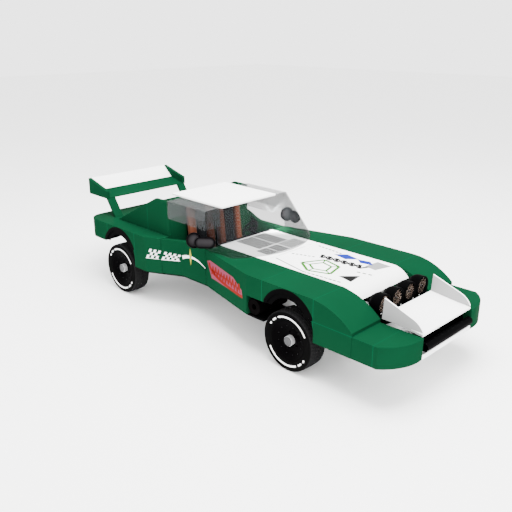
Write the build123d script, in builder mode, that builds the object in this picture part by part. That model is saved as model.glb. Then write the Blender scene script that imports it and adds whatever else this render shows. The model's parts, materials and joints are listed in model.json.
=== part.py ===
import os
from math import cos, radians, sin

from build123d import *

os.makedirs("parts", exist_ok=True)

# Rally car in millimetres: X runs forward from the middle of its length, Y to its left, Z up from the floor.
# Heights above the floor
sill_z = 410
seam_z = 616
tail_bottom_z = 600
deck_z = 832
glass_top_z = 1254

# Half widths from the car's middle line
flank_y = 840
cabin_y = 630
hood_y = 420

# Stations along the car
tail_x = -2221
waist_rear_x = -992
cabin_rear_x = -808
waist_back_x = -572
cabin_front_x = -160
waist_front_x = -152
waist_nose_x = 688
curve_start_x = 1486
fender_front_x = 1969
nose_x = 2410

# Body panels
skin = 25
panel_gap = 6
hinge_radius = 8
hinge_gap = 13
hinge_barrel = 60
hinge_clearance = 2
hood_hinge_y = 300
door_hinge_z = 510
door_hinge_spacing = 220
seat_gap = 0.3
overrun = 40
tail_corner_radius = 200
fender_nose_z = 647
sill_notch_back_x = 690

# Wheels and arches
wheel_radius = 304
tyre_width = 206
wheel_outer_y = 838
front_axle_x = 1231
rear_axle_x = -1525
arch_radius = 315
arch_centre_z = 485
liner_thickness = 12
liner_bottom_z = 616
liner_inner_y = 567

# Doors, floor and frame
door_thickness = 60
quarter_inner_y = 632
floor_thickness = 18
floor_rear_x = -1200
floor_front_x = 900
rail_y = 330
rail_width = 60
rail_height = 80
rail_rear_x = -1750
rail_front_x = 1960
rail_kick_length = 90
rear_rail_z = 560
front_rail_z = 470

# Bumper corners, nose and front lip
corner_start_x = 2231
corner_middle_x = 2357
corner_middle_y = 693
nose_rear_x = 1979
nose_rear_z = 683
nose_front_x = 2393
nose_front_z = 636
fin_thickness = 14
fin_rake = 12
fin_top_z = 853
fin_curve_x = 2290
fin_curve_z = 745
fin_bottom_z = 650
grille_x = 2290
grille_depth = 40
grille_border = 16
grille_slat = 10
grille_pitch = 30
grille_slat_count = 5
grille_post_count = 7
bar_x = 2405
bar_z = 512
bar_radius = 38
bar_wall = 5
bar_half_length = 390
bar_bracket = 36
lip_bottom_z = 405
lip_top_z = 450
lip_thickness = 10

# Hood, cowl and engine bay
lid_thickness = 20
cowl_front_x = 519
firewall_x = 300
firewall_thickness = 10
hood_curve_x = 1528
hood_front_x = 1718
hood_front_z = 737
inner_wing_y = 405
inner_wing_thickness = 14
engine_x = 740
engine_length = 620
engine_width = 440
engine_height = 330
engine_bottom_z = 416
engine_mount_x = 1010
engine_mount_length = 80
engine_mount_height = 24
exhaust_behind_axle = 455
exhaust_x = front_axle_x - exhaust_behind_axle
exhaust_z = 512
exhaust_radius = 80
exhaust_bore = 30
exhaust_bore_depth = 120
exhaust_end_y = 822

# Spot lamps
lamp_pitch = 210
lamp_place_shares = (-1.5, -0.5, 0.5, 1.5)
lamp_z = 745
lamp_radius = 96
lamp_front_x = 1937
lamp_ring = 60
lamp_taper_length = 80
lamp_back_radius = 56
lamp_wall = 12
lamp_recess = 26
lens_thickness = 14
lamp_bar_z = 625
lamp_bar_height = 25
lamp_bar_rear_x = 1800
lamp_bar_front_x = 1960
lamp_stay_width = 50
lamp_stay_thickness = 10

# Cabin glass, roof and buttresses
glass_thickness = 8
screen_corner_x = 245
screen_bulge_x = 499
screen_top_depth = 14
screen_top_bow = 6
screen_depth = 13
window_inner_y = 405
roof_front_x = -115
roof_thickness = 19
window_depth_share = 0.498
roof_corner_radius = 12
buttress_foot_x = -1832
buttress_top_x = -1032
buttress_drop = 13
buttress_thickness = 40
bulkhead_thickness = 40

# Cabin fittings
dash_rear_x = -200
dash_front_x = -110
dash_bottom_z = 690
dash_slope = 50
steering_wheel_x = -329
steering_wheel_y = 210
steering_wheel_z = 846
steering_wheel_radius = 105
steering_rim_radius = 12
steering_rim_side_count = 6
steering_hub_radius = 30
spoke_width = 22
spoke_thickness = 6
column_angle = 22
column_radius = 16
column_length = 132
seat_y = 218
seat_width = 360
seat_back_x = -690
seat_back_thickness = 60
seat_lean = 40
seat_headroom = 94
seat_cushion_z = 540
seat_rise = 20
seat_front_x = -300
bolster_width = 90
bolster_proud = 50
mirror_y = 735
mirror_z = 945
mirror_rear_x = -222
mirror_radius = 86
mirror_band_count = 3
mirror_face_band_count = 2
mirror_arm_ahead = 147
mirror_arm_inward = 28
mirror_arm_radius = 62
mirror_arm_half_length = 113
mirror_arm_angle = 40
mirror_arm_band_count = 2

# Rear wing
wing_rear_x = -2473
wing_front_x = -2063
wing_bottom_z = 1048
wing_nose_z = 1141
wing_rear_z = 1250
wing_skin = 12
wing_nose_depth = 40
end_plate = 16
strut_inner_y = 504
strut_width = 114
strut_thickness = 40
strut_foot_x = -1910
strut_head_x = -2064

# Running gear
kingpin_y = 735
kingpin_post = 32
kingpin_boss_radius = 36
kingpin_boss_length = 9
kingpin_eye_radius = 22
lower_arm_z = 205
upper_arm_z = 386
arm_thickness = 20
arm_base = 240
arm_hanger = 30
spindle_radius = 25
spindle_end_y = 812
beam_radius = 40
beam_half_length = 640
casing_radius = 110
casing_width = 180
tower_width = 70
rim_radius = 205
rim_wall = 14
rim_inset = 14
rim_lip = 9
dish_radius = 118
disc_y = 762
disc_thickness = 14
hub_radius = 48
hub_end_y = 826
shoulder = 26

sides = (("left", 1), ("right", -1))

# Flank outline in plan: x, half width
belt = (
    (waist_rear_x, flank_y),
    (waist_back_x, cabin_y),
    (waist_front_x, cabin_y),
    (waist_nose_x, flank_y),
)


def half_width(x):
    """Half width of the flank at a station, in straight runs between the belt's stations."""
    if x <= belt[0][0]:
        return belt[0][1]
    for (x_a, w_a), (x_b, w_b) in zip(belt, belt[1:]):
        if x <= x_b:
            return w_a + (w_b - w_a) * (x - x_a) / (x_b - x_a)
    return belt[-1][1]


def flank_points(x_rear, x_front, inset):
    """The flank's plan points from one station to another, moved in by an inset."""
    stations = [x_rear] + [x for x, w in belt if x_rear < x < x_front] + [x_front]
    return [(x, half_width(x) - inset) for x in stations]


def mirrored(points, sign):
    """The same plan points on the left, sign 1, or on the right, sign -1."""
    return [(x, sign * y) for x, y in points]


def round_ended(half_straight, radius, band_count):
    """Half outline of a bar with round ends in straight bands: along, out, from one pole to the other."""
    turns = [radians(90 * band / band_count) for band in range(band_count + 1)]
    end = [(half_straight + radius * sin(turn), radius * cos(turn)) for turn in turns]
    other_end = [(-along, out) for along, out in reversed(end)]
    return other_end + end if half_straight else other_end[:-1] + end


def save(part, name):
    """Label a finished piece and write its file."""
    part.label = name
    export_step(part, f"parts/{name}.step")


door_hinge_heights = (door_hinge_z, door_hinge_z + door_hinge_spacing)
glass_bottom_z = glass_top_z - window_depth_share * (glass_top_z - deck_z)
buttress_top_z = glass_top_z - buttress_drop
seat_top_z = glass_top_z - seat_headroom

# Front wings: one shell each side from the door to the nose, with the curved top and the wheel arch
for side, sign in sides:
    with BuildPart() as front_wing:
        with BuildSketch(Plane.XY.offset(sill_z)):
            with BuildLine():
                Polyline(
                    (cabin_front_x + hinge_gap, sign * hood_y),
                    *mirrored(flank_points(cabin_front_x + hinge_gap, fender_front_x, 0), sign),
                    (fender_front_x, sign * hood_y),
                    close=True,
                )
            make_face()
        extrude(amount=deck_z - sill_z)
        with BuildSketch(Plane.XZ):
            with BuildLine():
                top = TangentArc((curve_start_x, deck_z), (fender_front_x, fender_nose_z), tangent=(1, 0))
                Polyline(
                    top @ 1,
                    (fender_front_x + overrun, fender_nose_z),
                    (fender_front_x + overrun, deck_z + overrun),
                    (curve_start_x, deck_z + overrun),
                    top @ 0,
                )
            make_face()
        extrude(amount=flank_y + overrun, both=True, mode=Mode.SUBTRACT)
        with BuildSketch(Plane.XZ):
            with Locations(((sill_notch_back_x + front_axle_x) / 2, (sill_z + seam_z) / 2)):
                Rectangle(front_axle_x - sill_notch_back_x, seam_z - sill_z)
        extrude(amount=flank_y + overrun, both=True, mode=Mode.SUBTRACT)
        lowest = front_wing.faces().filter_by(Axis.Z).group_by(Axis.Z)[0]
        offset(amount=-skin, openings=lowest)
        with BuildSketch(Plane.XZ):
            with Locations((front_axle_x, arch_centre_z)):
                Circle(arch_radius)
            with Locations((front_axle_x, (sill_z - overrun + arch_centre_z) / 2)):
                Rectangle(2 * arch_radius, arch_centre_z - sill_z + overrun)
        extrude(amount=flank_y + overrun, both=True, mode=Mode.SUBTRACT)
        with BuildSketch(Plane.XZ.offset(-sign * (hood_y + skin))):
            wall_middle_x = (cabin_front_x + front_axle_x + arch_radius) / 2 + skin
            with Locations((wall_middle_x, (sill_z + deck_z) / 2 - skin)):
                Rectangle(front_axle_x + arch_radius - cabin_front_x - 2 * skin, deck_z - sill_z)
        extrude(amount=sign * 2 * skin, mode=Mode.SUBTRACT)
        for barrel_z in door_hinge_heights:
            for z in (barrel_z - hinge_barrel, barrel_z + hinge_barrel):
                with BuildSketch(Plane.XY.offset(z - hinge_barrel / 2)):
                    with Locations((cabin_front_x, sign * (cabin_y - hinge_radius))):
                        Circle(hinge_radius)
                        with Locations((hinge_gap / 2, 0)):
                            Rectangle(hinge_gap, 2 * hinge_radius)
                extrude(amount=hinge_barrel)
    save(front_wing.part, f"front_wing_{side}")

# Rear quarters: the flank behind the door, over the rear wheel and round the tail's corner
for side, sign in sides:
    with BuildPart() as rear_quarter:
        with BuildSketch(Plane.XY.offset(sill_z)):
            with BuildLine():
                Polyline(
                    (tail_x, sign * quarter_inner_y),
                    *mirrored(flank_points(tail_x, cabin_rear_x, 0), sign),
                    (cabin_rear_x, sign * quarter_inner_y),
                    close=True,
                )
            make_face()
            tail_corner = vertices().group_by(Axis.X)[0].sort_by(Axis.Y)[-1 if sign > 0 else 0]
            fillet(tail_corner, tail_corner_radius)
        extrude(amount=deck_z - sill_z)
        with BuildSketch(Plane.XZ):
            with Locations(((tail_x - overrun + rear_axle_x) / 2, (sill_z + tail_bottom_z) / 2)):
                Rectangle(rear_axle_x - tail_x + overrun, tail_bottom_z - sill_z)
        extrude(amount=flank_y + overrun, both=True, mode=Mode.SUBTRACT)
        low_faces = rear_quarter.faces().filter_by(Axis.Z).sort_by(Axis.Z)[:2]
        offset(amount=-skin, openings=low_faces)
        with BuildSketch(Plane.XZ):
            with Locations((rear_axle_x, arch_centre_z)):
                Circle(arch_radius)
            with Locations((rear_axle_x, (sill_z - overrun + arch_centre_z) / 2)):
                Rectangle(2 * arch_radius, arch_centre_z - sill_z + overrun)
        extrude(amount=flank_y + overrun, both=True, mode=Mode.SUBTRACT)
        with BuildSketch(Plane.XZ.offset(-sign * (quarter_inner_y + skin))):
            with Locations(((tail_x + cabin_rear_x) / 2, (sill_z + deck_z) / 2 - skin)):
                Rectangle(cabin_rear_x - tail_x - 2 * skin, deck_z - sill_z)
        extrude(amount=sign * 2 * skin, mode=Mode.SUBTRACT)
    save(rear_quarter.part, f"rear_quarter_{side}")

# Bumper corners: the rounded ends of the nose, below the seam
for side, sign in sides:
    with BuildPart() as bumper_corner:
        with BuildSketch(Plane.XY.offset(sill_z)):
            with BuildLine():
                outer = ThreePointArc(
                    (corner_start_x, sign * flank_y),
                    (corner_middle_x, sign * corner_middle_y),
                    (nose_x, sign * hood_y),
                )
                Polyline(
                    outer @ 1,
                    (fender_front_x + seat_gap, sign * hood_y),
                    (fender_front_x + seat_gap, sign * flank_y),
                    outer @ 0,
                )
            make_face()
        extrude(amount=seam_z - sill_z)
        offset(amount=-skin, openings=bumper_corner.faces().sort_by(Axis.Z)[0])
    save(bumper_corner.part, f"bumper_corner_{side}")

# Doors: waist panels hinged at their front edge
for side, sign in sides:
    with BuildPart() as door:
        with BuildSketch(Plane.XY.offset(sill_z + panel_gap)):
            door_ends = (cabin_rear_x + panel_gap, cabin_front_x)
            with BuildLine():
                Polyline(
                    *mirrored(flank_points(*door_ends, 0), sign),
                    *reversed(mirrored(flank_points(*door_ends, door_thickness), sign)),
                    close=True,
                )
            make_face()
        extrude(amount=deck_z - sill_z - 2 * panel_gap)
        for barrel_z in door_hinge_heights:
            for z in (barrel_z - hinge_barrel, barrel_z + hinge_barrel):
                with BuildSketch(Plane.XY.offset(z - hinge_barrel / 2 - hinge_clearance)):
                    with Locations((cabin_front_x, sign * (cabin_y - hinge_radius))):
                        Circle(hinge_radius + hinge_clearance)
                        with Locations((0, sign * hinge_radius)):
                            Rectangle(2 * (hinge_radius + hinge_clearance), 2 * hinge_radius)
                extrude(amount=hinge_barrel + 2 * hinge_clearance, mode=Mode.SUBTRACT)
            with BuildSketch(Plane.XY.offset(barrel_z - hinge_barrel / 2 + seat_gap)):
                with Locations((cabin_front_x, sign * (cabin_y - hinge_radius))):
                    Circle(hinge_radius)
            extrude(amount=hinge_barrel - 2 * seat_gap)
    save(door.part, f"door_{side}")

# Floor pan between the wheels, below every side panel
with BuildPart() as floor_pan:
    with BuildSketch(Plane.XY.offset(sill_z - floor_thickness)):
        with BuildLine():
            left_edge = flank_points(floor_rear_x, floor_front_x, skin)
            Polyline(*left_edge, *reversed(mirrored(left_edge, -1)), close=True)
        make_face()
    extrude(amount=floor_thickness)
save(floor_pan.part, "floor_pan")

# Frame rails: two box rails kicked up over the axles
rail_top_z = sill_z - floor_thickness
rail_stations = (
    (rail_rear_x, rear_rail_z),
    (floor_rear_x - rail_kick_length, rear_rail_z),
    (floor_rear_x, rail_top_z),
    (floor_front_x, rail_top_z),
    (floor_front_x + rail_kick_length, front_rail_z),
    (rail_front_x, front_rail_z),
)
with BuildPart() as frame_rails:
    with BuildSketch(Plane.XZ.offset(-rail_y - rail_width / 2)):
        with BuildLine():
            Polyline(
                *rail_stations,
                *reversed([(x, z - rail_height) for x, z in rail_stations]),
                close=True,
            )
        make_face()
    extrude(amount=rail_width)
    mirror(about=Plane.XZ)
save(frame_rails.part, "frame_rails")

# Inner wings: the white walls of the engine bay
with BuildPart() as inner_wings:
    with BuildSketch(Plane.XY.offset(sill_z)):
        for side, sign in sides:
            with Locations(((dash_front_x + hood_curve_x) / 2, sign * inner_wing_y)):
                Rectangle(hood_curve_x - dash_front_x - 2 * seat_gap, inner_wing_thickness)
    extrude(amount=deck_z - skin - sill_z)
save(inner_wings.part, "inner_wings")

# Arch liners: half rings inside the four arches
with BuildPart() as arch_liners:
    for x in (front_axle_x, rear_axle_x):
        for side, sign in sides:
            with BuildSketch(Plane.XZ.offset(-sign * liner_inner_y)):
                with Locations((x, arch_centre_z)):
                    Circle(arch_radius - seat_gap)
                    Circle(arch_radius - seat_gap - liner_thickness, mode=Mode.SUBTRACT)
                    with Locations((0, liner_bottom_z - arch_centre_z - arch_radius)):
                        Rectangle(2 * arch_radius, 2 * arch_radius, mode=Mode.SUBTRACT)
            extrude(amount=-sign * (flank_y - skin / 2 - liner_inner_y))
save(arch_liners.part, "arch_liners")

hood_hinge_x = cowl_front_x + hinge_gap
hood_hinge_z = deck_z - hinge_radius
hood_hinge_places = (-hood_hinge_y, hood_hinge_y)

# Cowl: the fixed white panel under the windscreen, with the firewall below it
with BuildPart() as cowl:
    with BuildSketch(Plane.XZ.offset(-(hood_y - panel_gap))):
        with Locations(((cabin_front_x + cowl_front_x) / 2, deck_z - lid_thickness / 2)):
            Rectangle(cowl_front_x - cabin_front_x, lid_thickness)
    extrude(amount=2 * (hood_y - panel_gap))
    with BuildSketch(Plane.XY.offset(sill_z)):
        with Locations((firewall_x, 0)):
            Rectangle(firewall_thickness, 2 * (inner_wing_y - seat_gap) - inner_wing_thickness)
    extrude(amount=deck_z - lid_thickness / 2 - sill_z)
    for y in hood_hinge_places:
        for barrel_y in (y - hinge_barrel, y + hinge_barrel):
            with BuildSketch(Plane.XZ.offset(-barrel_y - hinge_barrel / 2)):
                with Locations((hood_hinge_x, hood_hinge_z)):
                    Circle(hinge_radius)
                    with Locations((-hinge_gap / 2, 0)):
                        Rectangle(hinge_gap, 2 * hinge_radius)
            extrude(amount=hinge_barrel)
save(cowl.part, "cowl")

# Hood: the white lid, hinged at its rear edge and curved down at the front
with BuildPart() as hood:
    with BuildSketch(Plane.XZ.offset(-(hood_y - panel_gap))):
        with BuildLine():
            Line((hood_hinge_x, deck_z), (hood_curve_x, deck_z))
            TangentArc((hood_curve_x, deck_z), (hood_front_x, hood_front_z), tangent=(1, 0))
            offset(amount=lid_thickness, side=Side.RIGHT)
        make_face()
    extrude(amount=2 * (hood_y - panel_gap))
    for y in hood_hinge_places:
        for barrel_y in (y - hinge_barrel, y + hinge_barrel):
            with BuildSketch(Plane.XZ.offset(-barrel_y - hinge_barrel / 2 - hinge_clearance)):
                with Locations((hood_hinge_x, hood_hinge_z)):
                    Rectangle(2 * (hinge_radius + hinge_clearance), 2 * (hinge_radius + hinge_clearance))
            extrude(amount=hinge_barrel + 2 * hinge_clearance, mode=Mode.SUBTRACT)
        with BuildSketch(Plane.XZ.offset(-y - hinge_barrel / 2 + seat_gap)):
            with Locations((hood_hinge_x, hood_hinge_z)):
                Circle(hinge_radius)
        extrude(amount=hinge_barrel - 2 * seat_gap)
save(hood.part, "hood")

nose_slope = (nose_rear_z - nose_front_z) / (nose_front_x - nose_rear_x)
grille_top_z = nose_front_z + nose_slope * (nose_front_x - grille_x - grille_depth) - lid_thickness - seat_gap

# Nose panel: a sloping plate between two upright fins
with BuildPart() as nose_panel:
    with BuildSketch(Plane.XZ.offset(-hood_y + panel_gap)):
        with BuildLine():
            Polyline(
                (nose_rear_x, nose_rear_z),
                (nose_front_x, nose_front_z),
                (nose_front_x, nose_front_z - lid_thickness),
                (nose_rear_x, nose_rear_z - lid_thickness),
                close=True,
            )
        make_face()
    extrude(amount=2 * (hood_y - panel_gap))
    for side, sign in sides:
        with BuildSketch(Plane.XZ.offset(-sign * (hood_y - panel_gap - fin_thickness))):
            with BuildLine():
                slope = Line((nose_rear_x + fin_rake, fin_top_z), (fin_curve_x, fin_curve_z))
                nose_curve = TangentArc(slope @ 1, (nose_front_x, fin_bottom_z), tangent=slope % 1)
                Polyline(nose_curve @ 1, (nose_rear_x, fin_bottom_z), slope @ 0)
            make_face()
        extrude(amount=-sign * fin_thickness)
save(nose_panel.part, "nose_panel")

# Grille: a frame with slats, set back below the nose panel
with BuildPart() as grille:
    with BuildSketch(Plane.YZ.offset(grille_x)):
        with Locations((0, ((lip_bottom_z + lip_thickness) + grille_top_z) / 2)):
            Rectangle(2 * (hood_y - seat_gap), grille_top_z - (lip_bottom_z + lip_thickness))
            Rectangle(
                2 * ((hood_y - seat_gap) - grille_border),
                grille_top_z - (lip_bottom_z + lip_thickness) - 2 * grille_border,
                mode=Mode.SUBTRACT,
            )
            with GridLocations(0, grille_pitch, 1, grille_slat_count):
                Rectangle(2 * (hood_y - seat_gap) - grille_border, grille_slat)
            with GridLocations(2 * (hood_y - seat_gap) / grille_post_count, 0, grille_post_count, 1):
                Rectangle(grille_slat, grille_top_z - (lip_bottom_z + lip_thickness) - grille_border)
    extrude(amount=grille_depth)
save(grille.part, "grille")

# Bumper bar: a round tube on two brackets ahead of the grille
with BuildPart() as bumper_bar:
    with BuildSketch(Plane.XZ.offset(-bar_half_length)):
        with Locations((bar_x, bar_z)):
            Circle(bar_radius)
            Circle(bar_radius - bar_wall, mode=Mode.SUBTRACT)
    extrude(amount=2 * bar_half_length)
    with BuildSketch(Plane.YZ.offset(grille_x + grille_depth + seat_gap)):
        with Locations((rail_y, bar_z), (-rail_y, bar_z)):
            Rectangle(bar_bracket, bar_bracket)
    extrude(until=Until.NEXT)
save(bumper_bar.part, "bumper_bar")

# Front lip: the white strip under the grille with the undertray behind it
with BuildPart() as front_lip:
    with BuildSketch(Plane.XZ.offset(-hood_y + seat_gap)):
        with BuildLine():
            Polyline(
                (rail_front_x + seat_gap, lip_bottom_z),
                (nose_x, lip_bottom_z),
                (nose_x, lip_top_z),
                (nose_x - lip_thickness, lip_top_z),
                (nose_x - lip_thickness, lip_bottom_z + lip_thickness),
                (rail_front_x + seat_gap, lip_bottom_z + lip_thickness),
                close=True,
            )
        make_face()
    extrude(amount=2 * (hood_y - seat_gap))
save(front_lip.part, "front_lip")

# Spot lamps: four bowls on one bracket ahead of the hood
lamp_places = [(y_share * lamp_pitch, lamp_z) for y_share in lamp_place_shares]
with BuildPart() as lamp_pods:
    for y, z in lamp_places:
        with BuildSketch(Plane.XY.offset(z)):
            with BuildLine():
                Polyline(
                    (lamp_front_x, y),
                    (lamp_front_x, y + lamp_radius),
                    (lamp_front_x - lamp_ring, y + lamp_radius),
                    (lamp_front_x - lamp_ring - lamp_taper_length, y + lamp_back_radius),
                    (lamp_front_x - lamp_ring - lamp_taper_length, y),
                    close=True,
                )
            make_face()
        revolve(axis=Axis((0, y, z), (1, 0, 0)))
    with BuildSketch(Plane.YZ.offset(lamp_front_x)):
        with Locations(*lamp_places):
            Circle(lamp_radius - lamp_wall)
    extrude(amount=-lamp_recess, mode=Mode.SUBTRACT)
    with BuildSketch(Plane.XY.offset(lamp_bar_z)):
        with Locations(((lamp_bar_rear_x + lamp_bar_front_x) / 2, 0)):
            Rectangle(lamp_bar_front_x - lamp_bar_rear_x, 2 * (hood_y - seat_gap))
    extrude(amount=lamp_bar_height)
    with BuildSketch(Plane.XY.offset(lamp_bar_z)):
        with Locations(*[((lamp_bar_rear_x + lamp_bar_front_x) / 2, y) for y, z in lamp_places]):
            Rectangle(lamp_stay_thickness, lamp_stay_width)
    extrude(amount=lamp_z - lamp_radius / 2 - lamp_bar_z)
save(lamp_pods.part, "lamp_pods")

# Lamp lenses: shallow domed discs in the bowls
with BuildPart() as lamp_lenses:
    with BuildSketch(Plane.YZ.offset(lamp_front_x - lamp_recess)):
        with Locations(*lamp_places):
            Circle(lamp_radius - lamp_wall - seat_gap)
    extrude(amount=lens_thickness)
save(lamp_lenses.part, "lamp_lenses")

# Windscreen: a curved sheet from the straight top edge to the bowed base, with a quarter pane each side
with BuildPart() as windscreen:
    with BuildSketch(Plane.XY.offset(deck_z + seat_gap)):
        with BuildLine():
            base = ThreePointArc((screen_corner_x, -cabin_y), (screen_bulge_x, 0), (screen_corner_x, cabin_y))
            Polyline(base @ 1, (cabin_front_x, cabin_y), (cabin_front_x, -cabin_y), base @ 0)
        make_face()
    with BuildSketch(Plane.XY.offset(glass_top_z)):
        with BuildLine():
            top_x = cabin_front_x + screen_top_depth
            head = ThreePointArc((top_x, -cabin_y), (top_x + screen_top_bow, 0), (top_x, cabin_y))
            Polyline(head @ 1, (cabin_front_x, cabin_y), (cabin_front_x, -cabin_y), head @ 0)
        make_face()
    loft(ruled=True)
    screen_body = windscreen.part
    with Locations((-screen_depth, 0, 0)):
        add(screen_body, mode=Mode.SUBTRACT)
    for side, sign in sides:
        with BuildSketch(Plane.XZ.offset(-sign * (cabin_y - glass_thickness))):
            with BuildLine():
                Polyline(
                    (cabin_front_x, deck_z + seat_gap),
                    (screen_corner_x, deck_z + seat_gap),
                    (top_x, glass_top_z),
                    (cabin_front_x, glass_top_z),
                    close=True,
                )
            make_face()
        extrude(amount=-sign * glass_thickness)
save(windscreen.part, "windscreen")

# Side windows: glass mouldings along the roof's edges, open below
with BuildPart() as side_windows:
    with BuildSketch(Plane.XY.offset(glass_bottom_z)):
        for side, sign in sides:
            with Locations(((cabin_rear_x + cabin_front_x) / 2, sign * (window_inner_y + cabin_y) / 2)):
                Rectangle(cabin_front_x - cabin_rear_x - 2 * seat_gap, cabin_y - window_inner_y)
    extrude(amount=glass_top_z - glass_bottom_z)
    with BuildSketch(Plane.XY.offset(glass_bottom_z)):
        for side, sign in sides:
            with Locations(((cabin_rear_x + cabin_front_x) / 2, sign * (window_inner_y + cabin_y) / 2)):
                Rectangle(
                    cabin_front_x - cabin_rear_x - 2 * glass_thickness,
                    cabin_y - window_inner_y - 2 * glass_thickness,
                )
    extrude(amount=glass_top_z - glass_bottom_z - glass_thickness, mode=Mode.SUBTRACT)
save(side_windows.part, "side_windows")

# Roof: the flat white panel between the side windows
with BuildPart() as roof:
    with BuildSketch(Plane.XY.offset(glass_top_z)):
        with Locations(((waist_rear_x + roof_front_x) / 2, 0)):
            RectangleRounded(roof_front_x - waist_rear_x, 2 * hood_y, roof_corner_radius)
    extrude(amount=roof_thickness)
save(roof.part, "roof")

# Buttresses: sloping side walls behind the cabin
with BuildPart() as buttresses:
    with BuildSketch(Plane.XZ.offset(-cabin_y)):
        with BuildLine():
            Polyline(
                (buttress_foot_x, deck_z),
                (buttress_top_x, buttress_top_z),
                (cabin_rear_x, buttress_top_z),
                (cabin_rear_x, deck_z),
                close=True,
            )
        make_face()
    extrude(amount=buttress_thickness)
    mirror(about=Plane.XZ)
save(buttresses.part, "buttresses")

# Bulkhead behind the seats, from the floor to the roof
with BuildPart() as bulkhead:
    with BuildSketch(Plane.XY.offset(sill_z)):
        with Locations((cabin_rear_x - bulkhead_thickness / 2, 0)):
            Rectangle(bulkhead_thickness, 2 * (cabin_y - buttress_thickness))
    extrude(amount=glass_top_z - sill_z)
save(bulkhead.part, "bulkhead")

# Rear deck with the tail panel
with BuildPart() as rear_deck:
    with BuildSketch(Plane.XZ.offset(-quarter_inner_y + seat_gap)):
        with BuildLine():
            deck_front_x = cabin_rear_x - bulkhead_thickness - seat_gap
            Polyline(
                (tail_x, tail_bottom_z),
                (tail_x, deck_z),
                (deck_front_x, deck_z),
                (deck_front_x, deck_z - skin),
                (tail_x + skin, deck_z - skin),
                (tail_x + skin, tail_bottom_z),
                close=True,
            )
        make_face()
    extrude(amount=2 * (quarter_inner_y - seat_gap))
save(rear_deck.part, "rear_deck")

# Dashboard under the cowl's rear edge
with BuildPart() as dashboard:
    with BuildSketch(Plane.XZ.offset(-(hood_y - panel_gap))):
        with BuildLine():
            Polyline(
                (dash_front_x, deck_z - lid_thickness),
                (cabin_front_x - seat_gap, deck_z - lid_thickness),
                (cabin_front_x - seat_gap, deck_z),
                (dash_rear_x, deck_z),
                (dash_rear_x, dash_bottom_z + dash_slope),
                (dash_front_x, dash_bottom_z),
                close=True,
            )
        make_face()
    extrude(amount=2 * (hood_y - panel_gap))
save(dashboard.part, "dashboard")

# Steering wheel: three spokes in a rim, on a column to the dashboard
wheel_plane = Plane(
    origin=(steering_wheel_x, steering_wheel_y, steering_wheel_z),
    x_dir=(0, 1, 0),
    z_dir=(-cos(radians(column_angle)), 0, sin(radians(column_angle))),
)
with BuildPart() as steering_wheel:
    with BuildSketch(Plane(wheel_plane.origin, x_dir=wheel_plane.x_dir, z_dir=wheel_plane.y_dir)):
        with Locations((steering_wheel_radius, 0)):
            RegularPolygon(steering_rim_radius, steering_rim_side_count)
    revolve(axis=Axis(wheel_plane.origin, wheel_plane.z_dir))
    with BuildSketch(wheel_plane):
        Circle(steering_hub_radius)
        for spoke_angle in (0, 180, 270):
            with Locations(Rotation(0, 0, spoke_angle)):
                with Locations((steering_wheel_radius / 2, 0)):
                    Rectangle(steering_wheel_radius, spoke_width)
    extrude(amount=spoke_thickness / 2, both=True)
    with BuildSketch(wheel_plane):
        Circle(column_radius)
    extrude(amount=-column_length)
save(steering_wheel.part, "steering_wheel")

# Seats: a base and a back between side bolsters
for side, sign in sides:
    with BuildPart() as seat:
        with BuildSketch(Plane.XZ.offset(-sign * seat_y - seat_width / 2)):
            with BuildLine():
                Polyline(
                    (seat_back_x - seat_back_thickness - seat_lean, seat_top_z),
                    (seat_back_x - seat_lean, seat_top_z),
                    (seat_back_x, seat_cushion_z),
                    (seat_front_x, seat_cushion_z + seat_rise),
                    (seat_front_x, sill_z + seat_gap),
                    (seat_back_x - seat_back_thickness, sill_z + seat_gap),
                    close=True,
                )
            make_face()
        extrude(amount=seat_width)
        for edge_sign in (1, -1):
            bolster_y = sign * seat_y + edge_sign * (seat_width - bolster_width) / 2
            with BuildSketch(Plane.XZ.offset(-bolster_y - bolster_width / 2)):
                with BuildLine():
                    Polyline(
                        (seat_back_x - seat_back_thickness - seat_lean, seat_top_z),
                        (seat_back_x - seat_lean + bolster_proud / 2, seat_top_z),
                        (seat_back_x + bolster_proud, seat_cushion_z + bolster_proud),
                        (seat_front_x, seat_cushion_z + seat_rise + bolster_proud / 2),
                        (seat_front_x, sill_z + seat_gap),
                        (seat_back_x - seat_back_thickness, sill_z + seat_gap),
                        close=True,
                    )
                make_face()
            extrude(amount=bolster_width)
    save(seat.part, f"seat_{side}")

# Mirrors: a round housing with a flat face, on a thick rounded arm that ends against the cabin glass
with BuildPart() as mirrors:
    arm_straight = mirror_arm_half_length - mirror_arm_radius
    housing = round_ended(0, mirror_radius, mirror_band_count)[mirror_face_band_count:]
    housing_outline = [(housing[0][0], 0)] + housing
    arm_outline = round_ended(arm_straight, mirror_arm_radius, mirror_arm_band_count)
    for side, sign in sides:
        ball = Plane(origin=(mirror_rear_x, sign * mirror_y, mirror_z), x_dir=(1, 0, 0), z_dir=(0, -1, 0))
        arm_ahead = cos(radians(mirror_arm_angle))
        arm_inward = -sign * sin(radians(mirror_arm_angle))
        arm = Plane(
            origin=(
                mirror_rear_x + mirror_arm_ahead,
                sign * (mirror_y - mirror_arm_inward),
                mirror_z,
            ),
            x_dir=(arm_ahead, arm_inward, 0),
            z_dir=(arm_inward, -arm_ahead, 0),
        )
        for plane, outline in ((ball, housing_outline), (arm, arm_outline)):
            with BuildSketch(plane):
                with BuildLine():
                    Polyline(*outline, close=True)
                make_face()
            revolve(axis=Axis(plane.origin, plane.x_dir))
    with BuildSketch(Plane.XZ.offset(-cabin_y - seat_gap)):
        with Locations((mirror_rear_x + mirror_arm_ahead, mirror_z)):
            Rectangle(2 * mirror_arm_half_length, 2 * mirror_arm_radius)
    extrude(amount=2 * (cabin_y + seat_gap), mode=Mode.SUBTRACT)
save(mirrors.part, "mirrors")

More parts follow.
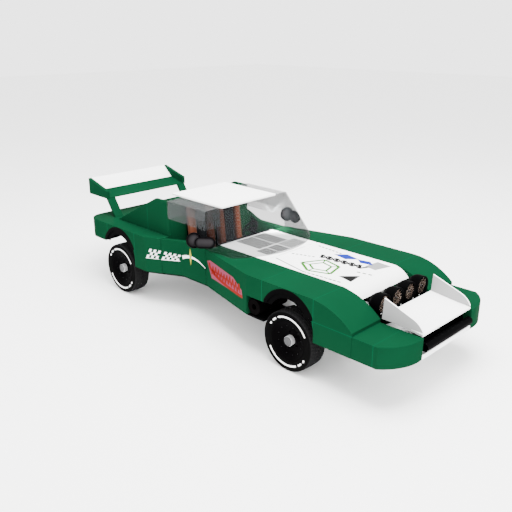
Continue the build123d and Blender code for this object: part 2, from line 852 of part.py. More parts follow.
# Rear wing: a wedge with end plates, its white top skin and two raked struts
wing_slope = (wing_rear_z - wing_nose_z) / (wing_front_x - wing_rear_x)
top_front_x = wing_front_x - wing_nose_depth


def wing_top_z(x):
    """Height of the wing's sloping top at a station."""
    return wing_nose_z + wing_slope * (wing_front_x - x)


with BuildPart() as wing_body:
    with BuildSketch(Plane.XZ.offset(-cabin_y)):
        with BuildLine():
            Polyline(
                (wing_rear_x, wing_bottom_z),
                (wing_front_x, wing_bottom_z),
                (wing_front_x, wing_nose_z),
                (wing_rear_x, wing_rear_z),
                close=True,
            )
        make_face()
    extrude(amount=2 * cabin_y)
    with BuildSketch(Plane.XZ.offset(-cabin_y + end_plate)):
        with BuildLine():
            Polyline(
                (wing_rear_x - overrun, wing_top_z(wing_rear_x - overrun) - wing_skin),
                (top_front_x, wing_top_z(top_front_x) - wing_skin),
                (top_front_x, wing_rear_z + overrun),
                (wing_rear_x - overrun, wing_rear_z + overrun),
                close=True,
            )
        make_face()
    extrude(amount=2 * (cabin_y - end_plate), mode=Mode.SUBTRACT)
save(wing_body.part, "wing_body")

with BuildPart() as wing_top:
    with BuildSketch(Plane.XZ.offset(-cabin_y + end_plate + seat_gap)):
        with BuildLine():
            Polyline(
                (wing_rear_x, wing_rear_z),
                (top_front_x - seat_gap, wing_top_z(top_front_x - seat_gap)),
                (top_front_x - seat_gap, wing_top_z(top_front_x - seat_gap) - wing_skin),
                (wing_rear_x, wing_rear_z - wing_skin),
                close=True,
            )
        make_face()
    extrude(amount=2 * (cabin_y - end_plate - seat_gap))
save(wing_top.part, "wing_top")

with BuildPart() as wing_struts:
    for side, sign in sides:
        with BuildSketch(Plane.XZ.offset(-sign * strut_inner_y)):
            with BuildLine():
                Polyline(
                    (strut_foot_x, deck_z),
                    (strut_foot_x - strut_thickness, deck_z),
                    (strut_head_x - strut_thickness, wing_bottom_z),
                    (strut_head_x, wing_bottom_z),
                    close=True,
                )
            make_face()
        extrude(amount=-sign * strut_width)
save(wing_struts.part, "wing_struts")

# Side exhausts: a silencer tube out of each flank behind the front wheel
with BuildPart() as exhausts:
    with BuildSketch(Plane.XZ.offset(-exhaust_end_y)):
        with Locations((exhaust_x, exhaust_z)):
            Circle(exhaust_radius)
    extrude(amount=exhaust_end_y - inner_wing_y - inner_wing_thickness / 2 - seat_gap)
    with BuildSketch(Plane.XZ.offset(-exhaust_end_y)):
        with Locations((exhaust_x, exhaust_z)):
            Circle(exhaust_bore)
    extrude(amount=exhaust_bore_depth, mode=Mode.SUBTRACT)
    mirror(about=Plane.XZ)
save(exhausts.part, "exhausts")

# Engine: one plain block on the rails
with BuildPart() as engine:
    with BuildSketch(Plane.XY.offset(engine_bottom_z)):
        with Locations((engine_x, 0)):
            Rectangle(engine_length, engine_width)
    extrude(amount=engine_height)
    with BuildSketch(Plane.XY.offset(front_rail_z)):
        with Locations((engine_mount_x, 0)):
            Rectangle(engine_mount_length, 2 * rail_y + rail_width)
    extrude(amount=engine_mount_height)
save(engine.part, "engine")

# Front arms: a lower and an upper wishbone each side, from the rails to the kingpin
with BuildPart() as front_arms:
    for arm_z, arm_inner_y in ((lower_arm_z, rail_y), (upper_arm_z, rail_y + rail_width / 2 + seat_gap)):
        for side, sign in sides:
            with BuildSketch(Plane.XY.offset(arm_z)):
                with BuildLine():
                    Polyline(
                        (front_axle_x - arm_base / 2, sign * arm_inner_y),
                        (front_axle_x + arm_base / 2, sign * arm_inner_y),
                        (front_axle_x + kingpin_eye_radius, sign * kingpin_y),
                        (front_axle_x - kingpin_eye_radius, sign * kingpin_y),
                        close=True,
                    )
                make_face()
                with Locations((front_axle_x, sign * kingpin_y)):
                    Circle(kingpin_eye_radius)
            extrude(amount=arm_thickness)
    for side, sign in sides:
        with BuildSketch(Plane.XY.offset(lower_arm_z)):
            with Locations((front_axle_x, sign * (rail_y + arm_hanger / 2))):
                Rectangle(arm_base, rail_width - arm_hanger)
        extrude(amount=front_rail_z - rail_height - lower_arm_z)
save(front_arms.part, "front_arms")

# Knuckles: a kingpin post with the stub axle
for side, sign in sides:
    with BuildPart() as knuckle:
        with BuildSketch(Plane.XY.offset(lower_arm_z + arm_thickness + seat_gap)):
            with Locations((front_axle_x, sign * kingpin_y)):
                Rectangle(kingpin_post, kingpin_post)
        extrude(amount=upper_arm_z - lower_arm_z - arm_thickness - 2 * seat_gap)
        with BuildSketch(Plane.XZ.offset(-sign * (kingpin_y + kingpin_post / 2))):
            with Locations((front_axle_x, wheel_radius)):
                Circle(kingpin_boss_radius)
        extrude(amount=-sign * kingpin_boss_length)
        with BuildSketch(Plane.XZ.offset(-sign * (kingpin_y + kingpin_post / 2 + kingpin_boss_length))):
            with Locations((front_axle_x, wheel_radius)):
                Circle(spindle_radius)
        extrude(amount=-sign * (spindle_end_y - kingpin_y - kingpin_post / 2 - kingpin_boss_length))
    save(knuckle.part, f"knuckle_{side}")

# Rear axle: a beam with its casing and the spring towers up to the rails
with BuildPart() as rear_axle:
    with BuildSketch(Plane.XZ.offset(-beam_half_length)):
        with Locations((rear_axle_x, wheel_radius)):
            Circle(beam_radius)
    extrude(amount=2 * beam_half_length)
    with BuildSketch(Plane.XZ.offset(-spindle_end_y)):
        with Locations((rear_axle_x, wheel_radius)):
            Circle(spindle_radius)
    extrude(amount=2 * spindle_end_y)
    with BuildSketch(Plane.XZ.offset(-casing_width / 2)):
        with Locations((rear_axle_x, wheel_radius)):
            Circle(casing_radius)
    extrude(amount=casing_width)
    with BuildSketch(Plane.XY.offset(wheel_radius)):
        with Locations((rear_axle_x, rail_y), (rear_axle_x, -rail_y)):
            Rectangle(tower_width, tower_width)
    extrude(amount=rear_rail_z - rail_height - wheel_radius)
save(rear_axle.part, "rear_axle")

# Wheels: a dished rim and a tyre on each
wheel_inner_y = wheel_outer_y - tyre_width
disc_outer_y = disc_y + disc_thickness
for end, axle_x in (("front", front_axle_x), ("rear", rear_axle_x)):
    for side, sign in sides:
        bead_in, bead_out = sign * (wheel_inner_y + rim_inset), sign * (wheel_outer_y - rim_inset)
        with BuildPart() as rim:
            with BuildSketch(Plane.XY.offset(wheel_radius)):
                with BuildLine():
                    Polyline(
                        (axle_x, sign * hub_end_y),
                        (axle_x + hub_radius, sign * hub_end_y),
                        (axle_x + hub_radius, sign * disc_outer_y),
                        (axle_x + dish_radius, sign * disc_outer_y),
                        (axle_x + rim_radius - rim_lip, bead_out),
                        (axle_x + rim_radius, bead_out),
                        (axle_x + rim_radius, bead_in),
                        (axle_x + rim_radius - rim_wall, bead_in),
                        (axle_x + rim_radius - rim_wall, sign * disc_y),
                        (axle_x + spindle_radius + seat_gap, sign * disc_y),
                        (axle_x + spindle_radius + seat_gap, sign * (spindle_end_y + seat_gap)),
                        (axle_x, sign * (spindle_end_y + seat_gap)),
                        close=True,
                    )
                make_face()
            revolve(axis=Axis((axle_x, 0, wheel_radius), (0, 1, 0)))
        save(rim.part, f"rim_{end}_{side}")
        with BuildPart() as tyre:
            with BuildSketch(Plane.XY.offset(wheel_radius)):
                with BuildLine():
                    Polyline(
                        (axle_x + rim_radius + seat_gap, sign * wheel_inner_y),
                        (axle_x + wheel_radius, sign * wheel_inner_y),
                        (axle_x + wheel_radius, sign * (wheel_outer_y - shoulder)),
                        (axle_x + wheel_radius - shoulder, sign * wheel_outer_y),
                        (axle_x + rim_radius + seat_gap, sign * wheel_outer_y),
                        close=True,
                    )
                make_face()
            revolve(axis=Axis((axle_x, 0, wheel_radius), (0, 1, 0)))
        save(tyre.part, f"tyre_{end}_{side}")
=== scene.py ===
import json
import math

import bmesh
import bpy
import numpy as np
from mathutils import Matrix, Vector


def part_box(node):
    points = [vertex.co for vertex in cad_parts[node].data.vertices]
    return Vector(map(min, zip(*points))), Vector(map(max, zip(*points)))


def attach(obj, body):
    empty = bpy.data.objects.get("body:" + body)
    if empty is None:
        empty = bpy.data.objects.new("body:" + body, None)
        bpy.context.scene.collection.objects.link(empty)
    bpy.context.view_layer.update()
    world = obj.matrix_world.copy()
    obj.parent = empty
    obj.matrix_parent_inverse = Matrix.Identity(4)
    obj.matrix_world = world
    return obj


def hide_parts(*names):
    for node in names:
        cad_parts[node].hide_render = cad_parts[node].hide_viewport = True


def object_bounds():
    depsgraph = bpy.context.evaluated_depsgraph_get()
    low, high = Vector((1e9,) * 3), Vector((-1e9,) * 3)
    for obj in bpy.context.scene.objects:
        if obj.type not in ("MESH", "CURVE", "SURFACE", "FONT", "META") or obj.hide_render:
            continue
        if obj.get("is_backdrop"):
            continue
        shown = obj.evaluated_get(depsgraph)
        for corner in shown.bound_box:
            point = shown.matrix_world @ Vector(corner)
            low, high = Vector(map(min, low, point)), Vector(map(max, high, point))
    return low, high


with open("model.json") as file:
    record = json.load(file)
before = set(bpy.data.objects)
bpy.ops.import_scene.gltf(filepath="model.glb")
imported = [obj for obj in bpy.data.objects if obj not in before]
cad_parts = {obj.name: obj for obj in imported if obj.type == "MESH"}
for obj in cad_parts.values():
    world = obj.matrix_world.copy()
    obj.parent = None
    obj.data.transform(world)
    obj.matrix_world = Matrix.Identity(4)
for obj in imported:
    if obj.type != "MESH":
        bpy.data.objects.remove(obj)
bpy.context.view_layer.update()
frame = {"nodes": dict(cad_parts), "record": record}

nodes = frame["nodes"]
record = frame["record"]
body_of = {node: body for body, riders in record["behaviour"]["bodies"].items() for node in riders}
slot_of = {part["node"]: part["material_slot"] for part in record["subparts"]}
sides = (("left", 1), ("right", -1))
ends = ("front", "rear")

# Camera: metres and degrees, at the angle of the picture
camera_place = (4.841, -4.838, 3.066)
camera_turn = (70.487, 0.0, 45.14)
camera_lens = 44.87
camera_reach = 200.0

# Floor and studio light. Lights: place, target, size in metres, watts
floor_half = 40.0
world_strength = 3.3
lights = {
    "key_light": ((1.5, -0.5, 9.0), (0, 0, 0.5), 6.0, 3100),
    "fill_light": ((-1.5, -7.5, 4.0), (0, 0, 0.5), 5.0, 120),
    "rim_light": ((-3.0, 7.5, 5.0), (0, 0, 0.8), 5.0, 60),
    "front_light": ((8.5, -1.0, 3.0), (1.0, 0, 0.6), 5.0, 550),
    "cabin_light": ((-0.15, 0.42, 1.05), (-0.35, 0.63, 0.75), 0.20, 34),
}

# Paints and finishes, linear red, green, blue
studio_white = (0.93, 0.93, 0.925)
green_paint = (0.0018, 0.0235, 0.0096)
green_light = (0.0024, 0.0280, 0.0116)
# Painted highlight colour for the panel seams
green_seam_highlight = (0.0022, 0.0640, 0.0290)
white_paint = (0.90, 0.90, 0.895)
white_shade = (0.84, 0.842, 0.84)
black_plastic = (0.0005, 0.0005, 0.0006)
black_worn = (0.0013, 0.0013, 0.0014)
black_gloss = (0.0005, 0.0004, 0.0006)
black_rubbed = (0.005, 0.005, 0.005)
chassis_paint = (0.0022, 0.0023, 0.0024)
steel_bright = (0.56, 0.57, 0.58)
steel_dull = (0.30, 0.30, 0.31)
exhaust_dark = (0.0005, 0.0004, 0.0005)
exhaust_heat = (0.0016, 0.0012, 0.0013)
engine_cast = (0.33, 0.34, 0.34)
glass_grey = (0.0072, 0.0080, 0.0084)
glass_pale = (0.052, 0.055, 0.056)
lamp_tint = (0.020, 0.017, 0.015)
lamp_cell = (0.0025, 0.0012, 0.0008)
chrome_warm = (0.40, 0.30, 0.24)
tan_leather = (0.112, 0.035, 0.018)
tan_dark = (0.074, 0.022, 0.011)
seat_black = (0.0024, 0.0030, 0.0036)
rubber_black = (0.0008, 0.0008, 0.0009)
rubber_tread = (0.0090, 0.0090, 0.0093)
tyre_white = (0.83, 0.83, 0.82)
# Painted highlight colour for the middle of the mirror shells
mirror_highlight_grey = (0.014, 0.013, 0.014)
wheel_skin = (0.0014, 0.0004, 0.0012)
dust_green = (0.030, 0.038, 0.028)
dust_brown = (0.025, 0.023, 0.019)

# Films in the order in which they lie on one another
film_colours = {
    "pink": (0.150, 0.024, 0.048),
    # grey and pale also serve as painted shade on the cowl; grey is printed on the hood too
    "grey": (0.19, 0.193, 0.193),
    "pale": (0.33, 0.334, 0.334),
    "black": (0.0012, 0.0012, 0.0013),
    "white": (0.84, 0.83, 0.84),
    "green": (0.0003, 0.020, 0.002),
    "red": (0.140, 0.0035, 0.0004),
    "lime": (0.014, 0.105, 0.0002),
    "blue": (0.0004, 0.009, 0.165),
    "yellow": (0.27, 0.25, 0.035),
}
film_order = list(film_colours)
film_lift = 0.0002
dull_films = ("grey", "pale")


# Node trees


def set_all(thing, **settings):
    """Set several settings of a thing, and give it back."""
    for key, value in settings.items():
        setattr(thing, key, value)
    return thing


class Wiring:
    """The nodes of one tree. A method adds a node and gives what comes out of it."""

    def __init__(self, tree):
        self.tree = tree

    def feed(self, socket, value):
        """Link a socket, or set its plain value, with full cover for a colour."""
        if isinstance(value, bpy.types.NodeSocket):
            self.tree.links.new(value, socket)
        else:
            socket.default_value = (*value, 1) if socket.type == "RGBA" else value

    def add(self, kind, values=None, **settings):
        """A shader node, with its settings and its inputs' values by name or number."""
        made = set_all(self.tree.nodes.new("ShaderNode" + kind), **settings)
        for key, value in (values or {}).items():
            self.feed(made.inputs[key], value)
        return made

    def maths(self, operation, *values, clamp=False):
        return self.add("Math", dict(enumerate(values)), operation=operation, use_clamp=clamp).outputs[0]

    def times(self, first, second):
        return self.maths("MULTIPLY", first, second)

    def line(self, value, gain, start):
        """start + gain * value."""
        return self.maths("MULTIPLY_ADD", value, gain, start)

    def highest(self, sockets):
        total = None
        for socket in sockets:
            total = socket if total is None else self.maths("MAXIMUM", total, socket)
        return total

    def blend(self, share, low, high):
        """Colour from low to high as the share goes from 0 to 1."""
        return self.add("Mix", {0: share, 6: low, 7: high}, data_type="RGBA").outputs[2]

    def between(self, value, low, high):
        """A value scaled from low..high to 0..1."""
        values = {"Value": value, "From Min": low, "From Max": high}
        return self.add("MapRange", values, clamp=True).outputs["Result"]

    def noise(self, place, scale, detail, roughness=0.5):
        """Noise from 0 to 1, in waves per metre."""
        values = {"Vector": place, "Scale": scale, "Detail": detail, "Roughness": roughness}
        return self.add("TexNoise", values).outputs[0]

    def cell_edge(self, scale):
        """Distance to a Voronoi cell's edge."""
        values = {"Vector": self.place(), "Scale": scale}
        return self.add("TexVoronoi", values, feature="DISTANCE_TO_EDGE").outputs["Distance"]

    def place(self):
        return self.add("TexCoord").outputs["Object"]

    def normal(self):
        return self.add("NewGeometry").outputs["Normal"]

    def parts(self, vector):
        """X, Y and Z of a vector."""
        return self.add("SeparateXYZ", {0: vector}).outputs

    def facing(self, axis):
        """How squarely a face looks along an axis, either way."""
        return self.maths("ABSOLUTE", self.parts(self.normal())[axis])

    def effect(self, made_group, **values):
        """A node group's outputs for some values."""
        return self.add("Group", values, node_tree=made_group).outputs


def group(name, **numbers):
    """A new node group's wiring, and the numbers that come into it."""
    wires = Wiring(bpy.data.node_groups.new(name, "ShaderNodeTree"))
    for label, value in numbers.items():
        socket = wires.tree.interface.new_socket(label, in_out="INPUT", socket_type="NodeSocketFloat")
        socket.default_value = value
    return wires, wires.tree.nodes.new("NodeGroupInput").outputs


def closed_group(wires, **results):
    """The node group, with its results going out."""
    for label, socket in results.items():
        kind = "NodeSocketVector" if socket.type == "VECTOR" else "NodeSocketFloat"
        wires.tree.interface.new_socket(label, in_out="OUTPUT", socket_type=kind)
    end = wires.tree.nodes.new("NodeGroupOutput")
    for label, socket in results.items():
        wires.tree.links.new(socket, end.inputs[label])
    return wires.tree


def make_grain():
    """Fine grain: two layers of noise give a height, and a slow one gives cloudy patches."""
    wires, given = group("fine_grain", Scale=300.0, Patch=3.0)
    place = wires.place()
    fine = wires.noise(place, given["Scale"], 2.0)
    coarse = wires.noise(place, wires.times(given["Scale"], 0.21), 2.0)
    patches = wires.noise(place, given["Patch"], 4.0)
    return closed_group(wires, Height=wires.maths("ADD", fine, coarse), Patches=patches)


def make_edges():
    """Soft edges: the rounded normal, and a mask where it leaves the face's own."""
    wires, given = group("soft_edges", Radius=0.003, Reach=0.35)
    bevel = wires.add("Bevel", {"Radius": given["Radius"]}, samples=4).outputs[0]
    dot = wires.add("VectorMath", {0: bevel, 1: wires.normal()}, operation="DOT_PRODUCT").outputs["Value"]
    mask = wires.maths("DIVIDE", wires.maths("SUBTRACT", 1.0, dot), given["Reach"], clamp=True)
    return closed_group(wires, Normal=bevel, Mask=mask)


def make_dust():
    """Road dust: thickest low down, broken up by noise."""
    wires, given = group("road_dust", Top=0.7, Amount=0.3)
    place = wires.place()
    low = wires.maths("SUBTRACT", 1.0, wires.maths("DIVIDE", wires.parts(place)["Z"], given["Top"]))
    both = wires.maths("MULTIPLY", low, wires.noise(place, 9.0, 6.0, 0.65), clamp=True)
    return closed_group(wires, Mask=wires.times(both, given["Amount"]))


# Seams of the green body: stations along the car, one height and half their width, in metres
seam_stations = (-1.769, -1.202, 0.898, 1.538, 2.189)
seam_height = 0.616
seam_half = 0.0024
seam_rear_limit = 1.0


def make_seams():
    """Panel seams: 1 where X or Z is within half a seam's width of a station or the height."""
    wires, given = group("panel_seams", Width=seam_half)
    parts = wires.parts(wires.place())
    lines = [wires.maths("COMPARE", parts["X"], station, given["Width"]) for station in seam_stations]
    ahead = wires.maths("GREATER_THAN", parts["X"], seam_rear_limit)
    level = wires.times(wires.maths("COMPARE", parts["Z"], seam_height, given["Width"]), ahead)
    upright = wires.maths("LESS_THAN", wires.facing("Z"), 0.5)
    total = wires.highest([*lines, wires.times(level, upright)])
    return closed_group(wires, Mask=wires.times(total, wires.line(upright, 0.65, 0.35)))


grain_group, edge_group, dust_group, seam_group = make_grain(), make_edges(), make_dust(), make_seams()


class Coat(Wiring):
    """A new material, and the wiring of its Principled shader with a grain of its own scales."""

    def __init__(self, name, scale=None, patch=None, **sockets):
        self.material = bpy.data.materials.new(name)
        self.material.use_nodes = True
        super().__init__(self.material.node_tree)
        self.give(**sockets)
        if scale:
            grain = self.effect(grain_group, Scale=scale, Patch=patch)
            self.height, self.patches = grain["Height"], grain["Patches"]

    def give(self, **sockets):
        """Feed the shader's inputs."""
        shader = self.tree.nodes["Principled BSDF"]
        for label, value in sockets.items():
            self.feed(shader.inputs[label.replace("_", " ")], value)

    def worn(self, base, light, radius, reach, share):
        """The colour made lighter along the edges, and the softened normal. On plastic and metal this is
        rubbed wear; on paint it is a painted highlight.
        """
        edges = self.effect(edge_group, Radius=radius, Reach=reach)
        return self.blend(self.times(edges["Mask"], share), base, light), edges["Normal"]

    def finished(self, base, rough, depth, distance, height=None, normal=None):
        """The material, with its colour, roughness and bump."""
        values = {"Height": height or self.height, "Strength": depth, "Distance": distance}
        if normal:
            values["Normal"] = normal
        self.give(Base_Color=base, Roughness=rough, Normal=self.add("Bump", values).outputs[0])
        return self.material


def scaled(colour, share):
    return tuple(share * channel for channel in colour)


def paint(name, colour, light, seams=False, side_shade=1.0):
    """Coach paint: slow drifts, a painted highlight along the edges, a faint orange peel and, if asked,
    painted shade on sideways faces.
    """
    coat = Coat(name, 420.0, 1.7, IOR=1.5, Specular_IOR_Level=0.0006)
    base = coat.blend(coat.between(coat.patches, 0.30, 0.75), colour, light)
    # Painted highlight: the paint turns to its lighter colour along rounded edges
    base, normal = coat.worn(base, light, radius=0.0035, reach=0.30, share=0.45)
    height = coat.height
    if seams:
        lines = coat.effect(seam_group, Width=seam_half)["Mask"]
        # Panel seams: sunk as grooves, and coloured a lighter green as a painted highlight
        base = coat.blend(coat.times(lines, 0.75), base, green_seam_highlight)
        height = coat.maths("SUBTRACT", height, coat.times(lines, 6.0))
    dust = coat.effect(dust_group, Top=0.62, Amount=0.07)["Mask"]
    base = coat.blend(dust, base, dust_green)
    if side_shade < 1.0:
        # Painted shade: faces turned sideways take a darker copy of the colour
        base = coat.blend(coat.maths("GREATER_THAN", coat.facing("Y"), 0.7), base, scaled(colour, side_shade))
    rough = coat.line(dust, 0.9, coat.line(coat.patches, 0.14, 0.30))
    return coat.finished(base, rough, 0.05, 0.0006, height, normal)


def plastic(name, colour, worn, rough, scale=900.0, depth=0.25, core=None):
    """Moulded plastic: fine grain, edges rubbed lighter and patches of gloss. A core colour, if given, is a
    painted highlight where the surface faces the eye."""
    coat = Coat(name, scale, 6.0, IOR=1.46, Specular_IOR_Level=0.004)
    base = coat.blend(coat.patches, colour, worn)
    base, normal = coat.worn(base, black_rubbed, radius=0.002, reach=0.35, share=0.5)
    if core:
        # Painted highlight: the core colour where the surface faces the eye
        turned_away = coat.add("LayerWeight", {"Blend": 0.5}).outputs["Facing"]
        base = coat.blend(coat.between(turned_away, 0.42, 0.0), base, core)
    base = coat.blend(coat.effect(dust_group, Top=0.7, Amount=0.05)["Mask"], base, dust_brown)
    return coat.finished(base, coat.line(coat.patches, 0.25, rough), depth, 0.0004, normal=normal)


def metal(name, dull, bright, rough, scale=240.0):
    """Bare metal: patches from dull to bright, bright edges and a fine grain."""
    coat = Coat(name, scale, 9.0, Metallic=1.0)
    base = coat.blend(coat.patches, dull, bright)
    base, normal = coat.worn(base, bright, radius=0.002, reach=0.3, share=0.6)
    return coat.finished(base, coat.line(coat.patches, 0.22, rough), 0.18, 0.0004, normal=normal)


def glass(name, colour, alpha):
    """Tinted sheet: a thin film, denser in slow drifts, that lets most of the light into the cabin."""
    coat = Coat(name, 30.0, 1.3, IOR=1.45, Specular_IOR_Level=0.012)
    edge = coat.add("LayerWeight", {"Blend": 0.25}).outputs["Facing"]
    dense = coat.line(edge, 0.06, coat.line(coat.patches, 0.03, alpha - 0.015))
    path = coat.add("LightPath").outputs
    indirect = coat.maths("MAXIMUM", path["Is Shadow Ray"], path["Is Diffuse Ray"])
    coat.give(Alpha=coat.times(dense, coat.line(indirect, -0.85, 1.0)))
    return coat.finished(colour, 0.08, 0.02, 0.0008)


def film(name, colour, rough=0.34):
    """Vinyl film: a flat colour with faint mottling and a fine skin."""
    coat = Coat(name, 700.0, 14.0, IOR=1.45, Specular_IOR_Level=0.02)
    base = coat.blend(coat.patches, scaled(colour, 0.86), colour)
    return coat.finished(base, coat.line(coat.patches, 0.15, rough), 0.06, 0.0003)


def leather(name, colour, dark, shine=0.12):
    """Leather: creases from a Voronoi pattern's edges, darker there and on slow patches."""
    coat = Coat(name, 500.0, 11.0, IOR=1.45, Specular_IOR_Level=shine, Sheen_Weight=0.02, Sheen_Roughness=0.5)
    crease = coat.between(coat.cell_edge(330.0), 0.0, 0.25)
    base = coat.blend(coat.times(coat.patches, 0.5), coat.blend(crease, dark, colour), dark)
    return coat.finished(base, coat.line(coat.patches, 0.2, 0.38), 0.35, 0.0006, crease)


def weave(name, colour, thread_pitch=0.0024):
    """Woven cloth: two crossed sine waves lift the threads by turns."""
    coat = Coat(name, 900.0, 12.0, IOR=1.4, Specular_IOR_Level=0.08, Sheen_Weight=0.05)
    parts = coat.parts(coat.place())
    across, along = (coat.maths("SINE", coat.times(parts[axis], 2 * math.pi / thread_pitch)) for axis in "YZ")
    threads = coat.times(across, along)
    share = coat.times(coat.between(threads, -1.0, 1.0), coat.patches)
    base = coat.blend(share, colour, scaled(colour, 2.6))
    return coat.finished(base, 0.85, 0.3, 0.0004, coat.maths("ADD", threads, coat.height))


# White arcs on the sidewall: radii in metres, starts and ends as shares of half a turn
arc_inner_radius = 0.237
arc_outer_radius = 0.254
arc_span_shares = ((0.155, 0.66), (0.70, 0.765), (0.805, 0.84))
sidewall_ring_pitch = 0.0045


def rubber():
    """Tyre rubber: the tyre's map gives the turn and the radius, for white arcs and fine rings."""
    coat = Coat("tyre_rubber", 650.0, 8.0, IOR=1.5, Specular_IOR_Level=0.004)
    parts = coat.parts(coat.add("UVMap", uv_map="tyre_map").outputs[0])
    turn, radius = parts["X"], parts["Y"]
    half = coat.maths("FRACT", coat.times(turn, 2.0))

    def within(value, low, high):
        return coat.maths("COMPARE", value, (low + high) / 2, (high - low) / 2)

    spans = coat.highest([within(half, *span) for span in arc_span_shares])
    arcs = coat.times(spans, within(radius, arc_inner_radius, arc_outer_radius))
    tread = coat.between(coat.maths("ABSOLUTE", radius), 0.288, 0.300)
    base = coat.blend(tread, rubber_black, rubber_tread)
    base = coat.blend(coat.times(coat.patches, 0.1), base, rubber_tread)
    base = coat.blend(coat.effect(dust_group, Top=0.55, Amount=0.07)["Mask"], base, dust_brown)
    rings = coat.maths("SINE", coat.times(radius, 2 * math.pi / sidewall_ring_pitch))
    height = coat.maths("ADD", coat.times(rings, coat.maths("SUBTRACT", 1.0, tread)), coat.height)
    base, height = coat.blend(arcs, base, tyre_white), coat.maths("ADD", height, arcs)
    return coat.finished(base, coat.line(coat.patches, 0.25, 0.52), 0.35, 0.0006, height)


def lamp_reflector():
    """Pressed lamp reflector: dark cells between bright warm ridges."""
    coat = Coat("lamp_reflector", Specular_IOR_Level=0.002)
    ridge = coat.between(coat.cell_edge(42.0), 0.080, 0.015)
    coat.give(Metallic=ridge)
    return coat.finished(coat.blend(ridge, lamp_cell, chrome_warm), 0.3, 0.9, 0.0035, ridge)


finishes = {
    "body_green": paint("body_green_paint", green_paint, green_light, seams=True),
    "body_white": paint("body_white_paint", white_shade, white_paint),
    "black_trim": plastic("black_trim_plastic", black_plastic, black_worn, 0.38),
    "gloss_black": plastic("gloss_black_shell", black_gloss, black_gloss, 0.24, 500.0, 0.03),
    "chassis_black": plastic("chassis_black_paint", chassis_paint, black_worn, 0.45, 300.0, 0.35),
    "bare_steel": metal("bare_steel_metal", steel_dull, steel_bright, 0.28),
    "exhaust_black": plastic("exhaust_black_coat", exhaust_dark, exhaust_heat, 0.42, 240.0, 0.2),
    "engine_grey": metal("engine_grey_cast", engine_cast, steel_bright, 0.45, 420.0),
    "tinted_glass": glass("tinted_glass_sheet", glass_grey, 0.38),
    "lamp_glass": glass("lamp_glass_lens", lamp_tint, 0.05),
    "seat_trim": leather("seat_tan_leather", tan_leather, tan_dark),
    "rim_black": plastic("rim_black_paint", black_gloss, black_gloss, 0.22, 700.0, 0.06),
    "tyre_rubber": rubber(),
}
nut_metal = metal("wheel_nut_metal", (0.66, 0.66, 0.67), (0.90, 0.90, 0.91), 0.55)
cap_metal = metal("hub_cap_metal", (0.045, 0.045, 0.046), (0.070, 0.070, 0.072), 0.36)
screw_metal = metal("clamp_screw_metal", (0.86, 0.86, 0.87), (0.95, 0.95, 0.95), 0.5)
bolt_metal = metal("dish_bolt_metal", (0.008, 0.008, 0.009), (0.022, 0.022, 0.023), 0.30)
reflector_chrome = lamp_reflector()
mirror_chrome = metal("mirror_glass_face", (0.80, 0.81, 0.82), (0.88, 0.89, 0.90), 0.02, 60.0)
seat_cloth = weave("seat_black_cloth", seat_black)
wheel_leather = leather("steering_wheel_skin", wheel_skin, black_gloss, 0.01)
# Painted highlight: grey in the middle of the mirror shells, black towards their outlines
mirror_shell = plastic("mirror_shell_plastic", black_gloss, black_gloss, 0.24, 500.0, 0.03, core=mirror_highlight_grey)
film_finish = {
    name: film(f"{name}_film", colour, 0.5 if name in dull_films else 0.34)
    for name, colour in film_colours.items()
}

own_finish = {
    "side_windows": glass("pale_glass_sheet", glass_pale, 0.25),
    # Painted shade: the nose panel's sideways faces, its fins' sides among them, are painted darker
    "nose_panel": paint("nose_white_side_shaded_paint", white_shade, white_paint, side_shade=0.34),
}
node_finish = {node: own_finish.get(node, finishes[slot_of[node]]) for node in nodes}
for node, thing in nodes.items():
    if not thing.material_slots:
        thing.data.materials.append(node_finish[node])
    for place in thing.material_slots:
        place.material = node_finish[node]


# Shapes


def box_of(node):
    """A CAD node's lowest and highest corner."""
    return (np.array(corner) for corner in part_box(node))


def quads(rows, columns, wrap_rows=False, wrap_columns=False):
    """Corner numbers of the faces between the rows and columns of a grid of points."""
    row = np.arange(rows if wrap_rows else rows - 1)
    column = np.arange(columns if wrap_columns else columns - 1)
    row, column = np.meshgrid(row, column, indexing="ij")
    next_row, next_column = (row + 1) % rows, (column + 1) % columns
    round_the_face = ((row, column), (next_row, column), (next_row, next_column), (row, next_column))
    return np.stack([across * columns + along for across, along in round_the_face], -1).reshape(-1, 4)


def join(surfaces):
    """Several surfaces, each of points and faces, as one."""
    points, faces, start = [], [], 0
    for more_points, more_faces in surfaces:
        points.append(more_points)
        faces += [[start + int(corner) for corner in face] for face in more_faces]
        start += len(more_points)
    return np.concatenate(points), faces


def tidy(mesh, merge=1e-6, flat=0.0):
    """Merge doubled corners. Then join faces flat to so many degrees, or else turn them outward."""
    work = bmesh.new()
    work.from_mesh(mesh)
    bmesh.ops.remove_doubles(work, verts=work.verts, dist=merge)
    if flat:
        bmesh.ops.dissolve_limit(work, angle_limit=math.radians(flat), verts=work.verts, edges=work.edges)
    else:
        bmesh.ops.recalc_face_normals(work, faces=work.faces)
    work.to_mesh(mesh)
    work.free()


def mesh_of(name, points, faces):
    mesh = bpy.data.meshes.new(name)
    mesh.from_pydata(np.asarray(points).tolist(), [], [list(face) for face in faces])
    return mesh


def in_scene(name, data):
    """An object in the scene for a mesh, a light or a camera."""
    thing = bpy.data.objects.new(name, data)
    bpy.context.scene.collection.objects.link(thing)
    return thing


def finish_piece(thing, finish, body, smooth_angle):
    """Finish an object, smooth it up to an angle, and let it ride on its body."""
    thing.data.materials.clear()
    thing.data.materials.append(finish)
    thing.data.polygons.foreach_set("use_smooth", np.ones(len(thing.data.polygons), bool))
    thing.data.set_sharp_from_angle(angle=math.radians(smooth_angle))
    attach(thing, body)
    return thing


